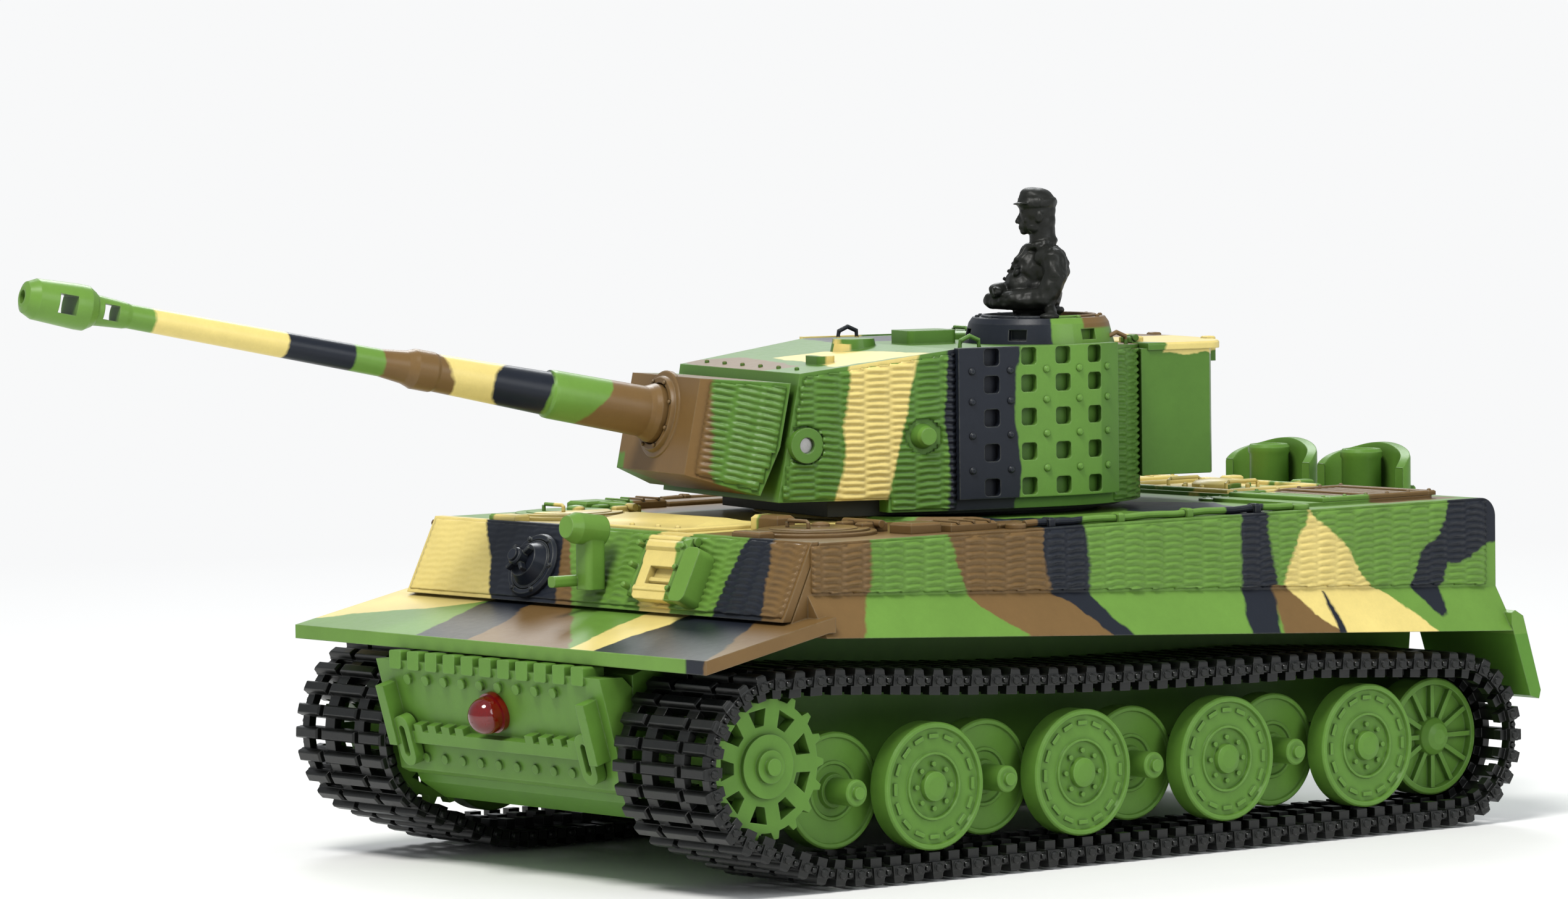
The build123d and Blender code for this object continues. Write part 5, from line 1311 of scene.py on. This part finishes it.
def link_panel_studs():
    """Studs between the panels' pockets, straight back to y = 0, then round the turret."""
    build = Build()
    radius = 14.25
    for side in (-1, 1):
        for y in (-7.8, -4.3, -1.0, 2.1, 5.2):
            angle = max(0, y) / radius
            a, b = math.cos(angle), math.sin(angle)
            for z in (30.6, 33.4, 36.15, 38.6):
                place = (radius * a * side, y if y < 0 else radius * b, z)
                build.lathe([(0.3, -0.1), (0.3, 0.1), (0.17, 0.22)],
                            along(place, (a * side, b, 0)), 12)
    build.done("link_panel_studs", "turret", "turret", TURRET)


def bin_lid():
    """Lid with a half-oval rear edge, three hinges in front and two clasps behind."""
    build = Build()
    half, front, back, bulge = 9.25, 11.2, 17.05, 3.05
    outline = [(half, front), (half, back)]
    for k in range(1, 16):
        a = math.pi * k / 16
        outline.append((half * math.cos(a), back + bulge * math.sin(a)))
    outline += [(-half, back), (-half, front)]
    centre_y = 15.2
    verts = []
    for z, inset in ((39.55, 0.0), (40.0, 0.0), (40.15, 0.15)):
        scale = 1 - inset / 9
        verts += [(x * scale, centre_y + (y - centre_y) * scale, z) for x, y in outline]
    build.add(verts, walls(len(outline), 3) + caps(len(outline), 3))
    for x in (-5.5, 0.0, 5.5):
        build.box(span(x, 0.9), (11.0, 12.3), (40.1, 40.6), 0.12)
        build.tube([(x - 1.1, 11.5, 40.5), (x + 1.1, 11.5, 40.5)], 0.28)
    for x in (-4.6, 4.6):
        y = back + bulge * math.sqrt(1 - (x / half) ** 2)
        build.box(span(x, 0.5), (y - 0.7, y + 0.15), (38.3, 40.35), 0.1)
    build.done("bin_lid", "bin", "turret", TURRET)


roof_fittings()
cupola_fittings()
link_panel_studs()
bin_lid()

# ---------------------------------------------------------------- rear of the hull
EXHAUST_X, EXHAUST_Y = 5.75, 43.6
EXHAUST_PIPE = [(0.95, 24.0), (1.1, 29.7), (1.35, 29.95), (1.6, 29.95), (1.8, 29.7),
                (1.8, 29.3), (1.68, 29.1), (1.7, 20.0), (1.5, 18.4)]
EXHAUST_FLOOR = [(0.001, 26.0), (1.3, 26.0)]
SHIELD_BOLT = [(0.42, -0.1), (0.42, 0.3), (0.25, 0.45)]
REAR_BOLT = [(0.32, -0.2), (0.32, 0.3), (0.2, 0.42)]
PORT_COVER = [(2.1, -0.2), (2.1, 0.4), (1.7, 0.7), (0.7, 0.7), (0.7, 1.2), (0.45, 1.35)]
PORT_BOLT = [(0.24, 0.3), (0.24, 0.75), (0.15, 0.85)]
STRIP_BOLT = [(0.26, -0.2), (0.26, 0.25), (0.16, 0.35)]


def shield_wall(build, side):
    """Half-oval wall round an exhaust, with a wavy, rolled top edge."""
    steps, bottom = 72, 18.3
    verts = []
    for i in range(steps + 1):
        t = i / steps
        out_x, out_y = -math.cos(math.pi * t), math.sin(math.pi * t)
        x, y = side * EXHAUST_X + 5.15 * out_x, 43.4 + 3.05 * out_y
        top = 30.4 - 1.9 * abs(2 * t - 1) ** 2.4 - 0.25 * (1 - math.cos(4 * math.pi * t)) / 2
        section = [(0.0, bottom), (0.12, bottom), (0.12, top - 0.25), (0.06, top),
                   (-0.75, top), (-0.82, top - 0.3), (-0.82, bottom)]           # outward, z
        verts += [(x + out_x * out, y + out_y * out, z) for out, z in section]
    ends = [face[::-1] for face in caps(7, steps + 1)]
    build.add(verts, walls(7, steps + 1) + ends)


def exhaust_shields():
    build = Build()
    for side in (-1, 1):
        x = side * EXHAUST_X
        shield_wall(build, side)
        build.lathe(EXHAUST_PIPE, at(x, EXHAUST_Y), 36)
        build.lathe(EXHAUST_FLOOR, at(x, EXHAUST_Y))
        for k in (-1, 1):
            build.box(span(x + k * 4.6, 0.5), (41.3, 43.4), (20.0, 26.0), 0.15)
            for z in (21.5, 26.5):
                build.lathe(SHIELD_BOLT, along((x + k * 4.1, 45.35, z), (k * 0.75, 1, 0)), 12)
    obj = build.done("exhaust_shield_skins", "green_plastic", "hull", HULL)
    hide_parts("exhaust_shields")


def rear_fittings():
    """Bolts, tow eyes, stepped blocks, round port cover and a bolted strip."""
    build = Build()
    for z in (17.6, 20.4, 23.2, 25.4):
        for x in (-22.0, -13.4, 13.4, 22.0):
            build.lathe(REAR_BOLT, along((x, 41.3, z), REAR), 10)
    for side in (-1, 1):
        eye_x, block_x = side * 8.6, side * 17.6
        for offset in (-0.8, 0.8):
            build.box(span(eye_x + offset, 0.3), (40.3, 42.6), (8.3, 11.3), 0.2)
        build.tube([(x, 42.0, 9.8) for x in span(eye_x, 1.3)], 0.4, 12)
        build.box(span(block_x, 2.6), (41.2, 42.3), (20.0, 23.6), 0.35)
        build.box(span(block_x, 1.9), (42.2, 42.6), (20.7, 22.9), 0.25)
        build.box(span(block_x, 0.4), (41.2, 42.8), (19.4, 24.2), 0.15)
    y, z, out = 40.55, 12.2, (0, 1, -0.09)
    build.lathe(PORT_COVER, along((0, y, z), out), 32)
    for a, b in circle(1.55, 6):
        build.lathe(PORT_BOLT, along((a, y, z + b), out), 8)
    build.box((-6.5, 6.5), (40.5, 41.25), (15.9, 16.5), 0.15)
    for x in (-5.4, -1.8, 1.8, 5.4):
        build.lathe(STRIP_BOLT, along((x, 41.2, 16.2), REAR), 8)
    build.done("rear_fittings", "green_deep", "hull", HULL)


exhaust_shields()
rear_fittings()

# ---------------------------------------------------------------- driver's plate and mantlet
# spans in x, up the slope and outwards; chamfer
VISOR_BOXES = [
    ((5.6, 10.4), (4.75, 5.75), (0.0, 1.25), 0.3), ((5.6, 10.4), (1.15, 1.95), (0.0, 1.1), 0.3),
    ((4.9, 5.7), (1.0, 5.9), (0.0, 0.85), 0.25), ((10.1, 11.0), (0.8, 6.0), (0.0, 1.35), 0.35),
    ((6.0, 10.0), (2.2, 2.75), (0.0, 0.7), 0.15)]
VISOR_BOLT = [(0.24, 0.7), (0.24, 1.5), (0.14, 1.6)]
PORT_RIM = [(2.1, -0.1), (2.75, 0.0), (2.75, 0.35), (2.55, 0.6), (2.2, 0.6), (2.05, 0.35)]
PORT_MUZZLE = [(0.62, 1.2), (0.72, 2.35), (0.62, 2.5), (0.3, 2.5), (0.28, 2.1), (0.001, 2.1)]
RIM_BOLT = [(0.2, 0.5), (0.2, 0.72), (0.12, 0.8)]
COLLAR = [(2.42, 6.4), (2.42, 8.0), (2.55, 8.2), (2.95, 8.2), (3.1, 8.02), (3.16, 7.86),
          (3.5, 7.8), (3.62, 7.68), (3.62, 7.4)]
COLLAR_BOLT = [(0.16, 8.1), (0.16, 8.34), (0.1, 8.4)]


def plate_at(u, v):
    """Frame on the driver's plate: x across, y up the slope, z outward."""
    origin = Vector((u, 0, 0)) + PLATE_FOOT + PLATE_SLOPE * v
    axes = (Vector(LEFT), PLATE_SLOPE, PLATE_OUT)
    return Matrix([(*(axis[i] for axis in axes), origin[i]) for i in range(3)] + [(0, 0, 0, 1)])


def visor_frame():
    build = Build()
    plate = plate_at(0, 0)
    for row in VISOR_BOXES:
        build.box(*row, plate)
    build.tube([plate @ Vector((x, 5.9, 0.5)) for x in (4.6, 11.2)], 0.38, 12)
    for x in (5.1, 10.6):
        for v in (1.6, 3.4, 5.2):
            build.lathe(VISOR_BOLT, plate @ at(x, v), 10)
    build.done("visor_frame", "plate", "hull", HULL)


def gun_port():
    """Rim and muzzle of the machine-gun port, with two crossed bars."""
    build = Build()
    port = plate_at(*GUN_PORT)
    build.lathe(PORT_RIM, port, 40)
    build.lathe(PORT_MUZZLE, port)
    for k in range(2):
        build.box((-1.35, 1.35), (-0.16, 0.16), (1.6, 2.15), 0.08, port @ turn(45 + 90 * k, "Z"))
    for a, b in circle(2.42, 6):
        build.lathe(RIM_BOLT, port @ at(a, b), 8)
    build.done("gun_port_rim", "plate", "hull", HULL)


def mantlet_collar():
    """Bolted collar in the mantlet's mouth, round the root of the barrel."""
    build = Build()
    forward = along((0, 0, 0), FRONT)
    build.lathe(COLLAR, forward, 48)
    for a, b in circle(2.75, 8, 0.39):
        build.lathe(COLLAR_BOLT, at(a, 0, b) @ forward, 8)
    build.done("mantlet_collar", "mantlet", "gun", GUN)


visor_frame()
gun_port()
mantlet_collar()

# ---------------------------------------------------------------- world, light, floor, camera
# from here on lengths are in metres
BACKDROP = (0.94, 0.945, 0.95)
scene = bpy.context.scene


def make_world():
    """Soft blue-white light, with a paler backdrop for the camera."""
    world = bpy.data.worlds.new("studio")
    scene.world = world
    world.use_nodes = True
    tree = world.node_tree
    tree.nodes.clear()
    light = tree.nodes.new("ShaderNodeBackground")
    light.inputs["Color"].default_value = (0.93, 0.97, 1.0, 1)
    light.inputs["Strength"].default_value = 0.44
    seen = tree.nodes.new("ShaderNodeBackground")
    seen.inputs["Color"].default_value = (*BACKDROP, 1)
    ray = tree.nodes.new("ShaderNodeLightPath")
    blend = tree.nodes.new("ShaderNodeMixShader")
    output = tree.nodes.new("ShaderNodeOutputWorld")
    tree.links.new(ray.outputs["Is Camera Ray"], blend.inputs[0])
    tree.links.new(light.outputs[0], blend.inputs[1])
    tree.links.new(seen.outputs[0], blend.inputs[2])
    tree.links.new(blend.outputs[0], output.inputs[0])


def area(name, place, size, power, colour):
    """Disc light aimed at the hull."""
    light = bpy.data.lights.new(name, "AREA")
    light.shape = "DISK"
    light.size = size
    light.energy = power
    light.color = colour
    obj = bpy.data.objects.new(name, light)
    obj.location = place
    obj.rotation_mode = "QUATERNION"
    aim = Vector((0.0, HULL_Y * MM, 0.02)) - Vector(place)
    obj.rotation_quaternion = aim.to_track_quat("-Z", "Y")
    scene.collection.objects.link(obj)


def make_floor():
    """Paper that runs out into the bright backdrop far from the model."""
    s = Shader("floor_paper")
    colour = s.mix(s.noise(0.02, 3.0), (0.86, 0.86, 0.85), (0.82, 0.82, 0.815))
    paper = s.surface(colour, rough=0.7, bevel=0.0, cavity=0.0, tint=0.01, bump=0.05)
    offset = s.vec("SUBTRACT", s.place, (0, HULL_Y, 0))
    reach = s.node("VectorMath", {0: offset}, operation="LENGTH").outputs["Value"]
    fade = s.ramp(reach, gain=1 / 260.0, offset=-0.34)
    glow = s.node("Emission", {"Color": BACKDROP, "Strength": 1.0}).outputs[0]
    mesh = bpy.data.meshes.new("floor")
    half, z = 3.0, -0.0002
    corners = [(-half, -half, z), (half, -half, z), (half, half, z), (-half, half, z)]
    mesh.from_pydata(corners, [], [(0, 1, 2, 3)])
    mesh.materials.append(s.output(s.node("MixShader", {0: fade, 1: paper, 2: glow}).outputs[0]))
    floor = bpy.data.objects.new("floor", mesh)
    scene.collection.objects.link(floor)


def make_camera():
    """Long lens, low, in front of the tank on its left."""
    azimuth, elevation, roll = (math.radians(d) for d in (50.55, 3.27, -0.69))
    back = Vector((math.sin(azimuth) * math.cos(elevation),
                   -math.cos(azimuth) * math.cos(elevation), math.sin(elevation)))
    level = Vector((math.cos(azimuth), math.sin(azimuth), 0))
    upright = level.cross(-back)
    right = level * math.cos(roll) + upright * math.sin(roll)
    up = level * -math.sin(roll) + upright * math.cos(roll)
    place = (0.5091, -0.4340 + HULL_Y * MM, 0.0700)
    data = bpy.data.cameras.new("camera")
    data.sensor_fit = "HORIZONTAL"
    data.sensor_width = 36.0
    data.lens = 187.66
    data.clip_start = 0.01
    data.clip_end = 20.0
    camera = bpy.data.objects.new("camera", data)
    camera.matrix_world = Matrix([*zip(right, up, back, place), (0, 0, 0, 1)])
    scene.collection.objects.link(camera)
    scene.camera = camera


make_world()
area("key", (0.16, -0.36, 0.66), size=0.26, power=5.0, colour=(1.0, 0.985, 0.95))
area("fill", (0.62, 0.05, 0.30), size=0.40, power=1.5, colour=(0.95, 0.98, 1.0))
area("rim", (-0.45, 0.35, 0.45), size=0.30, power=1.8, colour=(0.97, 0.99, 1.0))
make_floor()
make_camera()
scene.view_settings.view_transform = "Standard"
